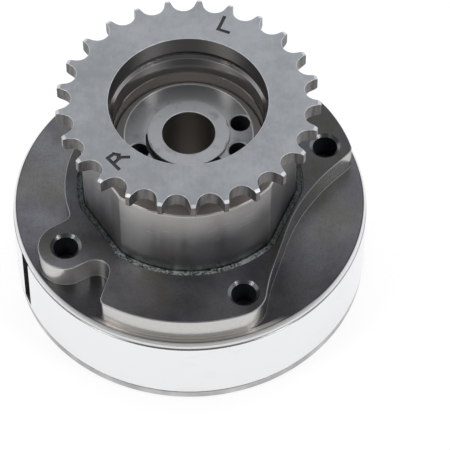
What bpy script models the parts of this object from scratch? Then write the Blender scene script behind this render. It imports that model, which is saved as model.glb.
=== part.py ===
"""Cam phaser: a sprocket on a hollow neck, a vane rotor inside a stator, and its lock pin.

The phaser stands on its front cover. +Z runs along its axis towards the camshaft, and the
origin is the centre of the cover's outer face. Every size is in metres.
"""
import math

import bmesh
import bpy
from mathutils import Matrix, Vector

MM = 0.001

# Clearances
FACE_GAP = 0.3 * MM        # between two faces that seat on each other
RUN_GAP = 0.3 * MM         # radial gap of a turning or sliding fit
CUT_PAST = 1.0 * MM        # how far a cutter runs past the face it opens

# Radial stack, from the neck's bore out to the rim
NECK_BORE_RADIUS = 19.6 * MM
HUB_STEP = 4.4 * MM
CHAMBER_DEPTH = 18.0 * MM
STATOR_WALL = 5.2 * MM
RIM_STEP = 0.2 * MM
SPIGOT_LAP = 1.0 * MM
SCREW_INSET = 3.8 * MM
PAD_INSET = 2.3 * MM
JOURNAL_RADIUS = NECK_BORE_RADIUS - RUN_GAP
ROTOR_HUB_RADIUS = JOURNAL_RADIUS + HUB_STEP
WEB_TIP_RADIUS = ROTOR_HUB_RADIUS + RUN_GAP
CHAMBER_RADIUS = WEB_TIP_RADIUS + CHAMBER_DEPTH
VANE_TIP_RADIUS = CHAMBER_RADIUS - RUN_GAP
STATOR_RADIUS = CHAMBER_RADIUS + STATOR_WALL
SPIGOT_RADIUS = CHAMBER_RADIUS + SPIGOT_LAP
COVER_RADIUS = STATOR_RADIUS - RIM_STEP
PLATE_RADIUS = STATOR_RADIUS - RIM_STEP
SCREW_CIRCLE_RADIUS = CHAMBER_RADIUS - SCREW_INSET
PAD_FRONT_RADIUS = STATOR_RADIUS - PAD_INSET

# Housing pieces, from the front cover up
COVER_THICKNESS = 3.0 * MM
COVER_BORE_RADIUS = 16.0 * MM
COVER_EDGE_CHAMFER = 0.8 * MM
STATOR_HEIGHT = 19.7 * MM
STATOR_EDGE_CHAMFER = 0.35 * MM
SPIGOT_DEPTH = 3.5 * MM
PLATE_RIM_THICKNESS = 1.8 * MM
PLATE_EDGE_CHAMFER = 0.7 * MM
PAD_HEIGHT = 7.2 * MM
PAD_EDGE_CHAMFER = 0.35 * MM

# Stator chambers and webs
WEB_HALF_ANGLE = 10.0
CHAMBER_FILLET = 1.6 * MM
NOTCH_ANGLE = -157.0
NOTCH_WIDTH = 4.2 * MM
NOTCH_DEPTH = 2.6 * MM
NOTCH_FLOOR_HEIGHT = 1.2 * MM

# Cover screws: one through each web, up into the rear plate
RIGHT_SCREW_ANGLE = 19.0
BACK_SCREW_ANGLE = 112.0
LEFT_SCREW_ANGLE = -147.2
FRONT_SCREW_ANGLE = -68.1
SCREW_ANGLES = (RIGHT_SCREW_ANGLE, BACK_SCREW_ANGLE, LEFT_SCREW_ANGLE, FRONT_SCREW_ANGLE)
SCREW_RADIUS = 2.95 * MM
SCREW_LENGTH = 25.0 * MM
SCREW_HEAD_RADIUS = 5.5 * MM
SCREW_HEAD_INSET = 0.2 * MM
SCREW_SOCKET_RADIUS = 2.1 * MM
SCREW_SOCKET_DEPTH = 1.6 * MM
SCREW_TIP_CHAMFER = 0.5 * MM
TAPPED_HOLE_RADIUS = 3.25 * MM
COUNTERSINK_RADIUS = 3.95 * MM

# Locating dowel between the stator and the rear plate, on the back web
DOWEL_REACH = 6.0 * MM
DOWEL_CIRCLE_RADIUS = WEB_TIP_RADIUS + DOWEL_REACH
DOWEL_RADIUS = 1.5 * MM
DOWEL_LENGTH = 8.0 * MM
DOWEL_CHAMFER = 0.3 * MM

# Raised pad on the rear plate
PAD_RING_RADIUS = 33.1 * MM
PAD_LOBE_RADIUS = 7.3 * MM
PAD_FRONT_START = -121.0
PAD_FRONT_END = -64.1
PAD_RIGHT_START = 14.2
PAD_RIGHT_END = 41.0
PAD_SCOOP_CORNER = (-18.2 * MM, -20.6 * MM)
PAD_RIGHT_CORNERS = ((20.9 * MM, -31.0 * MM), (27.9 * MM, -8.2 * MM), (35.6 * MM, 2.8 * MM))
PAD_SCOOP_FILLET = 3.7 * MM
PAD_SCOOP_LOBE_END = 80.0
PAD_TIP_FILLET = 2.2 * MM
PAD_END_FILLET = 8.0 * MM
PAD_LINE_FILLET = 24.0 * MM
PAD_NECK_FILLET = 2.5 * MM
PAD_END_ROOM = 6.5
PAD_RING_ROOM = 8.0

# Neck, turned round with four flats milled on it, and the braze round its foot
NECK_WALL = 8.5 * MM
NECK_RADIUS = NECK_BORE_RADIUS + NECK_WALL
NECK_TURN = 5.0
NECK_FRONT_HALF_ANGLE = 43.5
NECK_SIDE_HALF_ANGLE = 9.3
NECK_CORNER_FILLET = 0.8 * MM
NECK_SOCKET_DEPTH = 5.1 * MM
NECK_SHOULDER_HEIGHT = 23.0 * MM
NECK_EDGE_CHAMFER = 0.6 * MM
COLLAR_HEIGHT = 5.4 * MM
COLLAR_WALL = 3.7 * MM
NECK_MOUTH_STEP = 0.2 * MM
NECK_MOUTH_DEPTH = 6.2 * MM
NECK_MOUTH_CHAMFER = 0.7 * MM
NECK_MOUTH_RADIUS = NECK_BORE_RADIUS + NECK_MOUTH_STEP
COLLAR_RADIUS = NECK_MOUTH_RADIUS + COLLAR_WALL
BRAZE_WIDTH = 1.6 * MM
BRAZE_HEIGHT = 3.0 * MM
BRAZE_GROOVE_DEPTH = 0.9 * MM

# Sprocket for a chain of 8 mm pitch
TOOTH_COUNT = 25
TOOTH_DEPTH = 4.0 * MM
SPROCKET_WALL = 6.5 * MM
ROOT_RADIUS = COLLAR_RADIUS + SPROCKET_WALL
TIP_RADIUS = ROOT_RADIUS + TOOTH_DEPTH
SEAT_RADIUS = 3.15 * MM
FLANK_ANGLE = 23.5
SPROCKET_THICKNESS = 4.3 * MM
TIP_CHAMFER = 0.45 * MM
SPROCKET_BORE_STEP = 0.7 * MM
SPROCKET_BACK_CHAMFER = 0.9 * MM
SPROCKET_BORE_RADIUS = NECK_MOUTH_RADIUS + SPROCKET_BORE_STEP
SPROCKET_HUB_HEIGHT = 1.8 * MM
BORE_CHAMFER = 0.25 * MM
FIRST_TOOTH_ANGLE = 85.4

# Rotor
ROTOR_BORE_RADIUS = 6.85 * MM
ROTOR_FACE_CHAMFER = 2.5 * MM
ROTOR_FACE_RADIUS = JOURNAL_RADIUS - ROTOR_FACE_CHAMFER
ROTOR_FACE_DEPTH = 14.1 * MM
BOSS_WALL = 3.85 * MM
BOSS_RADIUS = ROTOR_BORE_RADIUS + BOSS_WALL
BOSS_HEIGHT = 0.8 * MM
OIL_GROOVE_WIDTH = 1.3 * MM
OIL_GROOVE_DEPTH = 1.2 * MM
OIL_GROOVE_START = -181.0
OIL_GROOVE_END = -43.0
FRONT_SPIGOT_RECESS = 0.6 * MM
HEAD_SEAT_RADIUS = 12.8 * MM
HEAD_SEAT_DEPTH = 3.4 * MM
PORT_ANGLES = (16.4, -21.2, -157.5)
PORT_INSET = 2.9 * MM
PORT_CIRCLE_RADIUS = ROTOR_FACE_RADIUS - PORT_INSET
PORT_RADIUS = 2.6 * MM
PORT_DEPTH = 14.0 * MM
ROTOR_TRAVEL = 25.0

# Vanes, their seals and the leaf springs under the seals
VANE_HALF_ANGLE = 10.0
LOCK_VANE_END_GAP = 0.6
SEAL_WIDTH = 1.9 * MM
SEAL_HEIGHT = 3.0 * MM
SEAL_CROWN = 0.5 * MM
SEAL_SPRING_ROOM = 1.5 * MM
SEAL_SPRING_THICKNESS = 0.3 * MM
SEAL_SPRING_BOW = 0.5 * MM
SEAL_SPRING_SHORT = 1.6 * MM
OIL_HOLE_RADIUS = 1.3 * MM
OIL_HOLE_OFFSET_ANGLE = 13.5
OIL_HOLE_VANE_ANGLE = 4.0

# Lock pin, in the wide vane
LOCK_INSET = 10.5 * MM
LOCK_CIRCLE_RADIUS = CHAMBER_RADIUS - LOCK_INSET
LOCK_PIN_RADIUS = 4.0 * MM
LOCK_NOSE_RADIUS = 3.0 * MM
LOCK_NOSE_HEIGHT = 2.6 * MM
LOCK_PIN_HEIGHT = 9.4 * MM
LOCK_POCKET_RADIUS = 2.7 * MM
LOCK_POCKET_DEPTH = 5.2 * MM
LOCK_PLUG_HEIGHT = 1.8 * MM
BUSH_RADIUS = 4.4 * MM
BUSH_HEIGHT = 2.4 * MM
SPRING_COIL_RADIUS = 2.0 * MM
SPRING_WIRE_RADIUS = 0.32 * MM
SPRING_TURNS = 5.5
LOCK_CHAMFER = 0.4 * MM

# Mesh fineness
RING_STEPS = 72
HOLE_STEPS = 16
LOCK_STEPS = 24
OIL_HOLE_STEPS = 12
SPRING_STEPS = 12
LEAF_STEPS = 8
ARC_STEP = 6.0
LOBE_ARC_STEP = 15.0
SEAT_ARC_STEP = 13.0
CORNER_ROOM = 4.5
FILLET_STEPS = 4

# Heights worked out from the stack
STATOR_LOW = COVER_THICKNESS + FACE_GAP
STATOR_TOP = STATOR_LOW + STATOR_HEIGHT
PLATE_LOW = STATOR_TOP + FACE_GAP
SPIGOT_LOW = PLATE_LOW - SPIGOT_DEPTH
PLATE_TOP = PLATE_LOW + PLATE_RIM_THICKNESS
PAD_TOP = PLATE_TOP + PAD_HEIGHT
NECK_LOW = PAD_TOP - NECK_SOCKET_DEPTH + FACE_GAP
NECK_SHOULDER = PAD_TOP + NECK_SHOULDER_HEIGHT
NECK_TOP = NECK_SHOULDER + COLLAR_HEIGHT
SPROCKET_HUB_LOW = NECK_TOP + FACE_GAP
SPROCKET_LOW = SPROCKET_HUB_LOW + SPROCKET_HUB_HEIGHT
SPROCKET_TOP = SPROCKET_LOW + SPROCKET_THICKNESS
ROTOR_LOW = COVER_THICKNESS + FACE_GAP
VANE_TOP = SPIGOT_LOW - FACE_GAP
ROTOR_FACE = SPROCKET_TOP - ROTOR_FACE_DEPTH
BOSS_TOP = ROTOR_FACE + BOSS_HEIGHT
PIN_LOW = COVER_THICKNESS + FACE_GAP
PIN_TOP = PIN_LOW + LOCK_PIN_HEIGHT
PLUG_LOW = VANE_TOP - LOCK_PLUG_HEIGHT


def polar(radius, degrees):
    """A point at a radius and an angle about the axis."""
    angle = math.radians(degrees)
    return (radius * math.cos(angle), radius * math.sin(angle))


def arc(radius, start, end, centre=(0.0, 0.0), step=ARC_STEP):
    """Points along a circular arc, both ends included."""
    count = max(2, round(abs(end - start) / step) + 1)
    points = []
    for index in range(count):
        x, y = polar(radius, start + (end - start) * index / (count - 1))
        points.append((centre[0] + x, centre[1] + y))
    return points


def rounded(corners):
    """A closed outline from corners (x, y, fillet radius), each fillet turned into an arc."""
    points = []
    total = len(corners)
    for index, (x, y, radius) in enumerate(corners):
        here = Vector((x, y))
        to_last = (Vector(corners[index - 1][:2]) - here).normalized()
        to_next = (Vector(corners[(index + 1) % total][:2]) - here).normalized()
        half = to_last.angle(to_next) / 2
        if radius <= 0.0 or half > math.radians(88.0):
            points.append((x, y))
            continue
        reach = radius / math.tan(half)
        middle = here + (to_last + to_next).normalized() * (radius / math.sin(half))
        first = here + to_last * reach - middle
        turn = first.angle_signed(here + to_next * reach - middle)
        for step in range(FILLET_STEPS + 1):
            spoke = first.copy()
            spoke.rotate(Matrix.Rotation(-turn * step / FILLET_STEPS, 2))
            points.append(tuple(middle + spoke))
    return points


def offset(outline, distance):
    """The outline moved outwards by a distance, for one that runs anticlockwise."""
    moved = []
    total = len(outline)
    for index, point in enumerate(outline):
        here = Vector(point)
        before = (here - Vector(outline[index - 1])).normalized()
        after = (Vector(outline[(index + 1) % total]) - here).normalized()
        normal = Vector((before.y, -before.x)) + Vector((after.y, -after.x))
        normal.normalize()
        stretch = distance / max(0.3, normal.dot(Vector((after.y, -after.x))))
        moved.append(tuple(here + normal * stretch))
    return moved


def new_collection(name):
    collection = bpy.data.collections.new(name)
    bpy.context.scene.collection.children.link(collection)
    return collection


def material(name, colour, roughness, metallic):
    """A Principled material of one colour."""
    made = bpy.data.materials.new(name)
    made.use_nodes = True
    shader = made.node_tree.nodes["Principled BSDF"]
    shader.inputs["Base Color"].default_value = (*colour, 1.0)
    shader.inputs["Roughness"].default_value = roughness
    shader.inputs["Metallic"].default_value = metallic
    return made


def add_object(name, data, collection):
    thing = bpy.data.objects.new(name, data)
    collection.objects.link(thing)
    return thing


def as_part(thing, name, finish):
    """Give a solid its node name, its material and smooth round faces."""
    thing.name = name
    thing.data.name = name
    thing.data.materials.clear()
    thing.data.materials.append(finish)
    thing.data.shade_smooth()
    thing.data.set_sharp_from_angle(angle=math.radians(30.0))
    return thing


def as_cutter(thing):
    """Hide a solid that only cuts or joins another."""
    for collection in list(thing.users_collection):
        collection.objects.unlink(thing)
    CUTTERS.objects.link(thing)
    thing.hide_render = True
    thing.display_type = "WIRE"
    return thing


def turned(name, profile, steps=RING_STEPS, centre=(0.0, 0.0)):
    """A turned solid: a closed profile of (radius, height) points swept by a Screw modifier."""
    mesh = bpy.data.meshes.new(name)
    outline = bmesh.new()
    points = [outline.verts.new((radius, 0.0, height)) for radius, height in profile]
    for first, second in zip(points, points[1:]):
        outline.edges.new((first, second))
    if profile[0][0] > 0.0:
        outline.edges.new((points[-1], points[0]))
    outline.to_mesh(mesh)
    outline.free()
    thing = add_object(name, mesh, PARTS)
    thing.location = (*centre, 0.0)
    screw = thing.modifiers.new("Turn", "SCREW")
    screw.steps = steps
    screw.render_steps = steps
    screw.use_merge_vertices = True
    screw.merge_threshold = 0.00001
    return thing


def disc(name, radius, low, high, steps=HOLE_STEPS, centre=(0.0, 0.0)):
    """A plain round solid between two heights."""
    return turned(name, [(0.0, high), (radius, high), (radius, low), (0.0, low)], steps, centre)


def extruded(name, outline, low, high, chamfer=0.0):
    """A flat outline raised between two heights, with an optional chamfer on its edges."""
    curve = bpy.data.curves.new(name, "CURVE")
    curve.dimensions = "2D"
    curve.fill_mode = "BOTH"
    curve.extrude = (high - low) / 2 - chamfer
    curve.bevel_depth = chamfer
    curve.bevel_resolution = 0
    curve.offset = -chamfer
    spline = curve.splines.new("POLY")
    spline.points.add(len(outline) - 1)
    for point, (x, y) in zip(spline.points, outline):
        point.co = (x, y, 0.0, 1.0)
    spline.use_cyclic_u = True
    guide = add_object(name, curve, PARTS)
    guide.location = (0.0, 0.0, (low + high) / 2)
    return to_mesh(guide)


def to_mesh(guide):
    """Turn a curve object into one welded mesh object in the same place."""
    bpy.context.view_layer.update()
    graph = bpy.context.evaluated_depsgraph_get()
    mesh = bpy.data.meshes.new_from_object(guide.evaluated_get(graph))
    work = bmesh.new()
    work.from_mesh(mesh)
    bmesh.ops.remove_doubles(work, verts=work.verts, dist=0.000002)
    bmesh.ops.dissolve_limit(work, angle_limit=0.001, verts=work.verts, edges=work.edges)
    bmesh.ops.recalc_face_normals(work, faces=work.faces)
    work.to_mesh(mesh)
    work.free()
    name = guide.name
    place = guide.matrix_world.copy()
    curve = guide.data
    bpy.data.objects.remove(guide)
    bpy.data.curves.remove(curve)
    thing = add_object(name, mesh, PARTS)
    thing.matrix_world = place
    return thing


def block(name, size, edge=0.0):
    """A box about its own centre, with its long edges eased if wanted."""
    mesh = bpy.data.meshes.new(name)
    work = bmesh.new()
    bmesh.ops.create_cube(work, size=1.0)
    bmesh.ops.scale(work, vec=size, verts=work.verts)
    work.to_mesh(mesh)
    work.free()
    thing = add_object(name, mesh, PARTS)
    if edge > 0.0:
        ease = thing.modifiers.new("Ease", "BEVEL")
        ease.width = edge
        ease.segments = 2
    return thing


def joined(things):
    """Several cutters as one mesh of separate bodies."""
    bpy.context.view_layer.update()
    graph = bpy.context.evaluated_depsgraph_get()
    work = bmesh.new()
    for thing in things:
        mesh = bpy.data.meshes.new_from_object(thing.evaluated_get(graph))
        mesh.transform(thing.matrix_world)
        work.from_mesh(mesh)
        bpy.data.meshes.remove(mesh)
    name = things[0].name
    for thing in things:
        bpy.data.objects.remove(thing)
    mesh = bpy.data.meshes.new(name)
    work.to_mesh(mesh)
    work.free()
    return add_object(name, mesh, PARTS)


def combine(base, other, operation):
    """Add a Boolean that joins the other solid to the base, or cuts it out."""
    boolean = base.modifiers.new(other.name, "BOOLEAN")
    boolean.operation = operation
    boolean.solver = "EXACT"
    boolean.object = as_cutter(other)
    return base


def cut(base, other):
    return combine(base, other, "DIFFERENCE")


def join(base, other):
    return combine(base, other, "UNION")


def place_radially(thing, radius, degrees, height):
    """Put a solid at a radius and angle, its own X pointing away from the axis."""
    x, y = polar(radius, degrees)
    thing.location = (x, y, height)
    thing.rotation_euler = (0.0, 0.0, math.radians(degrees))
    return thing


def screw_holes(name, radius, low, high):
    """A cutter for the holes on the screw circle."""
    holes = []
    for degrees in SCREW_ANGLES:
        centre = polar(SCREW_CIRCLE_RADIUS, degrees)
        holes.append(disc(name, radius, low, high, HOLE_STEPS, centre))
    return joined(holes)


def screw_cones(name, low_radius, high_radius, low, high):
    """A cutter for the tapered mouths on the screw circle."""
    profile = [(0.0, high), (high_radius, high), (low_radius, low), (0.0, low)]
    cones = []
    for degrees in SCREW_ANGLES:
        cones.append(turned(name, profile, HOLE_STEPS, polar(SCREW_CIRCLE_RADIUS, degrees)))
    return joined(cones)


def neck_outline():
    """The neck in plan: a circle with four flats between wide and narrow arcs."""
    corners = []
    for quarter in range(4):
        middle = NECK_TURN + 90.0 * quarter
        half = NECK_FRONT_HALF_ANGLE if quarter % 2 else NECK_SIDE_HALF_ANGLE
        points = arc(NECK_RADIUS, middle - half, middle + half)
        corners.append((*points[0], NECK_CORNER_FILLET))
        for point in points[1:-1]:
            corners.append((*point, 0.0))
        corners.append((*points[-1], NECK_CORNER_FILLET))
    return rounded(corners)


def lobe(degrees, end=90.0):
    """The round end of the pad's lobe at one screw hole."""
    centre = polar(SCREW_CIRCLE_RADIUS, degrees)
    points = arc(PAD_LOBE_RADIUS, degrees - 90.0, degrees + end, centre, LOBE_ARC_STEP)
    return [(*point, 0.0) for point in points]


def lobe_root(degrees):
    """The filleted corner where a lobe's side leaves the pad's ring."""
    return (*polar(PAD_RING_RADIUS, degrees), PAD_NECK_FILLET)


def plain_arc(radius, start, end):
    return [(*point, 0.0) for point in arc(radius, start, end)]


def pad_outline():
    """The raised pad in plan: a ring with four lobes, a scoop and a long diagonal edge."""
    spread = math.degrees(math.asin(PAD_LOBE_RADIUS / PAD_RING_RADIUS))
    back = BACK_SCREW_ANGLE
    left = LEFT_SCREW_ANGLE + 360.0
    corners = [(*polar(PAD_FRONT_RADIUS, PAD_FRONT_START), PAD_TIP_FILLET)]
    corners += plain_arc(PAD_FRONT_RADIUS, PAD_FRONT_START + PAD_END_ROOM,
                         PAD_FRONT_END - PAD_END_ROOM)
    corners.append((*polar(PAD_FRONT_RADIUS, PAD_FRONT_END), PAD_END_FILLET))
    for corner in PAD_RIGHT_CORNERS:
        corners.append((*corner, PAD_LINE_FILLET))
    corners.append((*polar(PAD_FRONT_RADIUS, PAD_RIGHT_START), PAD_NECK_FILLET))
    corners += plain_arc(PAD_FRONT_RADIUS, PAD_RIGHT_START + CORNER_ROOM,
                         PAD_RIGHT_END - PAD_END_ROOM)
    corners.append((*polar(PAD_FRONT_RADIUS, PAD_RIGHT_END), 2 * PAD_NECK_FILLET))
    ring_start = PAD_RIGHT_END + PAD_RING_ROOM
    corners.append((*polar(PAD_RING_RADIUS, ring_start), 2 * PAD_NECK_FILLET))
    corners += plain_arc(PAD_RING_RADIUS, ring_start + 2 * ARC_STEP,
                         back - spread - PAD_RING_ROOM)
    corners.append(lobe_root(back - spread))
    corners += lobe(back)
    corners.append(lobe_root(back + spread))
    corners += plain_arc(PAD_RING_RADIUS, back + spread + PAD_RING_ROOM,
                         left - spread - PAD_RING_ROOM)
    corners.append(lobe_root(left - spread))
    corners += lobe(left, PAD_SCOOP_LOBE_END)
    corners.append((*PAD_SCOOP_CORNER, PAD_SCOOP_FILLET))
    return rounded(corners)


def chambers():
    """Each chamber between two webs, as its start and end angle."""
    order = sorted(degrees % 360.0 for degrees in SCREW_ANGLES)
    spans = []
    for index, degrees in enumerate(order):
        after = order[(index + 1) % len(order)]
        if after < degrees:
            after += 360.0
        spans.append((degrees + WEB_HALF_ANGLE, after - WEB_HALF_ANGLE))
    return spans


def lock_chamber():
    """The chamber that follows the left web; its vane is the wide one."""
    start = LEFT_SCREW_ANGLE % 360.0 + WEB_HALF_ANGLE
    return min(chambers(), key=lambda span: abs(span[0] - start))


def vanes():
    """Each vane at rest, as its centre and half angle."""
    found = []
    for start, end in chambers():
        if (start, end) == lock_chamber():
            half = (end - start - ROTOR_TRAVEL) / 2 - LOCK_VANE_END_GAP
            found.append((start + LOCK_VANE_END_GAP + half, half))
        else:
            found.append(((start + end - ROTOR_TRAVEL) / 2, VANE_HALF_ANGLE))
    return found


def lock_angle():
    """The angle of the lock pin at rest."""
    start, end = lock_chamber()
    return (start + end - ROTOR_TRAVEL) / 2


def cavity_outline():
    """The stator's inside: four chambers, with a web between each two."""
    corners = []
    for start, end in chambers():
        corners.append((*polar(WEB_TIP_RADIUS, start), 0.0))
        corners.append((*polar(CHAMBER_RADIUS, start), CHAMBER_FILLET))
        corners += plain_arc(CHAMBER_RADIUS, start + CORNER_ROOM, end - CORNER_ROOM)
        corners.append((*polar(CHAMBER_RADIUS, end), CHAMBER_FILLET))
        corners.append((*polar(WEB_TIP_RADIUS, end), 0.0))
        web_end = end + 2 * WEB_HALF_ANGLE
        corners += plain_arc(WEB_TIP_RADIUS, end + ARC_STEP, web_end - ARC_STEP)
    return rounded(corners)


def vane_outline(centre, half):
    """One vane, from inside the hub to its tip."""
    root = ROTOR_HUB_RADIUS - 2 * RUN_GAP
    corners = [(*polar(VANE_TIP_RADIUS, centre - half), CHAMBER_FILLET)]
    corners += plain_arc(VANE_TIP_RADIUS, centre - half + CORNER_ROOM,
                         centre + half - CORNER_ROOM)
    corners += [(*polar(VANE_TIP_RADIUS, centre + half), CHAMBER_FILLET)]
    corners += plain_arc(root, centre + half, centre - half)
    return rounded(corners)


def band_outline(inner, outer, start, end):
    """Part of a flat ring between two angles."""
    return arc(outer, start, end) + arc(inner, end, start)


def make_front_cover(finish):
    edge = COVER_EDGE_CHAMFER
    ease = BORE_CHAMFER
    profile = [
        (COVER_BORE_RADIUS, COVER_THICKNESS),
        (COVER_RADIUS - ease, COVER_THICKNESS),
        (COVER_RADIUS, COVER_THICKNESS - ease),
        (COVER_RADIUS, edge),
        (COVER_RADIUS - edge, 0.0),
        (COVER_BORE_RADIUS + ease, 0.0),
        (COVER_BORE_RADIUS, ease),
    ]
    cover = turned("front_cover", profile)
    shank = SCREW_RADIUS + RUN_GAP
    mouth = SCREW_HEAD_RADIUS + FACE_GAP
    rim = SCREW_HEAD_INSET
    cut(cover, screw_cones("head_mouths", mouth + CUT_PAST, shank - CUT_PAST,
                           rim - CUT_PAST, rim + mouth - shank + CUT_PAST))
    cut(cover, screw_holes("cover_screw_holes", shank, 0.0 - CUT_PAST, COVER_THICKNESS + CUT_PAST))
    seat = disc("bush_hole", BUSH_RADIUS + FACE_GAP, -CUT_PAST, COVER_THICKNESS + CUT_PAST,
                HOLE_STEPS, polar(LOCK_CIRCLE_RADIUS, lock_angle()))
    cut(cover, seat)
    return as_part(cover, "front_cover", finish)


def make_stator(finish):
    edge = STATOR_EDGE_CHAMFER
    profile = [
        (0.0, STATOR_TOP),
        (STATOR_RADIUS - edge, STATOR_TOP),
        (STATOR_RADIUS, STATOR_TOP - edge),
        (STATOR_RADIUS, STATOR_LOW + edge),
        (STATOR_RADIUS - edge, STATOR_LOW),
        (0.0, STATOR_LOW),
    ]
    stator = turned("stator", profile)
    cavity = extruded("chambers", cavity_outline(), STATOR_LOW - CUT_PAST, STATOR_TOP + CUT_PAST)
    cut(stator, cavity)
    recess = SPIGOT_RADIUS + FACE_GAP
    cut(stator, disc("spigot_recess", recess, SPIGOT_LOW - FACE_GAP, STATOR_TOP + CUT_PAST,
                     RING_STEPS))
    cut(stator, screw_holes("stator_screw_holes", SCREW_RADIUS + RUN_GAP,
                            STATOR_LOW - CUT_PAST, STATOR_TOP + CUT_PAST))
    floor = STATOR_LOW + NOTCH_FLOOR_HEIGHT
    height = STATOR_TOP + CUT_PAST - floor
    notch = block("notch", (NOTCH_DEPTH + CUT_PAST, NOTCH_WIDTH, height))
    place_radially(notch, STATOR_RADIUS - (NOTCH_DEPTH - CUT_PAST) / 2, NOTCH_ANGLE,
                   floor + height / 2)
    cut(stator, notch)
    cut(stator, disc("stator_dowel_hole", DOWEL_RADIUS + RUN_GAP,
                     SPIGOT_LOW - DOWEL_LENGTH / 2 - FACE_GAP, STATOR_TOP,
                     HOLE_STEPS, polar(DOWEL_CIRCLE_RADIUS, BACK_SCREW_ANGLE)))
    return as_part(stator, "stator", finish)


def make_rear_plate(finish):
    edge = PLATE_EDGE_CHAMFER
    bore = JOURNAL_RADIUS + RUN_GAP
    profile = [
        (bore, PLATE_TOP),
        (PLATE_RADIUS - edge, PLATE_TOP),
        (PLATE_RADIUS, PLATE_TOP - edge),
        (PLATE_RADIUS, PLATE_LOW),
        (SPIGOT_RADIUS, PLATE_LOW),
        (SPIGOT_RADIUS, SPIGOT_LOW),
        (bore, SPIGOT_LOW),
    ]
    plate = turned("rear_plate", profile)
    pad = extruded("pad", pad_outline(), PLATE_LOW, PAD_TOP, PAD_EDGE_CHAMFER)
    join(plate, pad)
    neck = neck_outline()
    socket = extruded("neck_socket", offset(neck, FACE_GAP), NECK_LOW - FACE_GAP,
                      PAD_TOP + CUT_PAST)
    groove = extruded("braze_groove", offset(neck, BRAZE_WIDTH + FACE_GAP),
                      PAD_TOP - BRAZE_GROOVE_DEPTH, PAD_TOP + CUT_PAST)
    cut(plate, socket)
    cut(plate, groove)
    cut(plate, disc("plate_bore", bore, SPIGOT_LOW - CUT_PAST, PAD_TOP, RING_STEPS))
    cut(plate, screw_holes("tapped_holes", TAPPED_HOLE_RADIUS, SPIGOT_LOW - CUT_PAST,
                           PAD_TOP + CUT_PAST))
    sink = COUNTERSINK_RADIUS - TAPPED_HOLE_RADIUS
    cut(plate, screw_cones("countersinks", TAPPED_HOLE_RADIUS, COUNTERSINK_RADIUS + CUT_PAST,
                           PAD_TOP - sink, PAD_TOP + CUT_PAST))
    cut(plate, disc("plate_dowel_hole", DOWEL_RADIUS + RUN_GAP, SPIGOT_LOW - CUT_PAST,
                    SPIGOT_LOW + DOWEL_LENGTH / 2 + FACE_GAP, HOLE_STEPS,
                    polar(DOWEL_CIRCLE_RADIUS, BACK_SCREW_ANGLE)))
    return as_part(plate, "rear_plate", finish)


def make_neck(finish):
    neck = extruded("sprocket_neck", neck_outline(), NECK_LOW, NECK_SHOULDER, NECK_EDGE_CHAMFER)
    ease = BORE_CHAMFER
    collar_profile = [
        (0.0, NECK_TOP),
        (COLLAR_RADIUS - ease, NECK_TOP),
        (COLLAR_RADIUS, NECK_TOP - ease),
        (COLLAR_RADIUS, NECK_SHOULDER - CUT_PAST),
        (0.0, NECK_SHOULDER - CUT_PAST),
    ]
    join(neck, turned("collar", collar_profile))
    mouth = NECK_MOUTH_CHAMFER
    bore_profile = [
        (0.0, NECK_TOP + CUT_PAST),
        (NECK_MOUTH_RADIUS + mouth + CUT_PAST, NECK_TOP + CUT_PAST),
        (NECK_MOUTH_RADIUS, NECK_TOP - mouth),
        (NECK_MOUTH_RADIUS, NECK_TOP - NECK_MOUTH_DEPTH),
        (NECK_BORE_RADIUS, NECK_TOP - NECK_MOUTH_DEPTH - NECK_MOUTH_STEP),
        (NECK_BORE_RADIUS, NECK_LOW - CUT_PAST),
        (0.0, NECK_LOW - CUT_PAST),
    ]
    cut(neck, turned("neck_bore", bore_profile))
    return as_part(neck, "sprocket_neck", finish)


def make_braze_ring(finish):
    """The rough bead of braze that lies in the groove and climbs the neck's foot."""
    neck = neck_outline()
    low = PAD_TOP - BRAZE_GROOVE_DEPTH + FACE_GAP
    bead = extruded("neck_braze", offset(neck, BRAZE_WIDTH), low, low + BRAZE_HEIGHT / 2)
    upper = extruded("upper_bead", offset(neck, BRAZE_WIDTH / 2), low + BRAZE_HEIGHT / 4,
                     low + BRAZE_HEIGHT, BRAZE_WIDTH / 5)
    join(bead, upper)
    inside = extruded("bead_inside", offset(neck, FACE_GAP), low - CUT_PAST,
                      low + BRAZE_HEIGHT + CUT_PAST)
    cut(bead, inside)
    return as_part(bead, "neck_braze", finish)


def seat_outline(degrees):
    """One chain seat in plan: a round root, and flanks that spread to the tooth tips."""
    middle = ROOT_RADIUS + SEAT_RADIUS
    reach = TIP_RADIUS + RUN_GAP - middle
    root = arc(SEAT_RADIUS, 90.0 + FLANK_ANGLE, 270.0 - FLANK_ANGLE, step=SEAT_ARC_STEP)
    first_x, first_y = root[0]
    spread = first_y + (reach - first_x) * math.tan(math.radians(FLANK_ANGLE))
    turn = Matrix.Rotation(math.radians(degrees), 2)
    points = [(reach, spread), *root, (reach, -spread)]
    return [tuple(turn @ Vector((middle + x, y))) for x, y in points]


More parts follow.
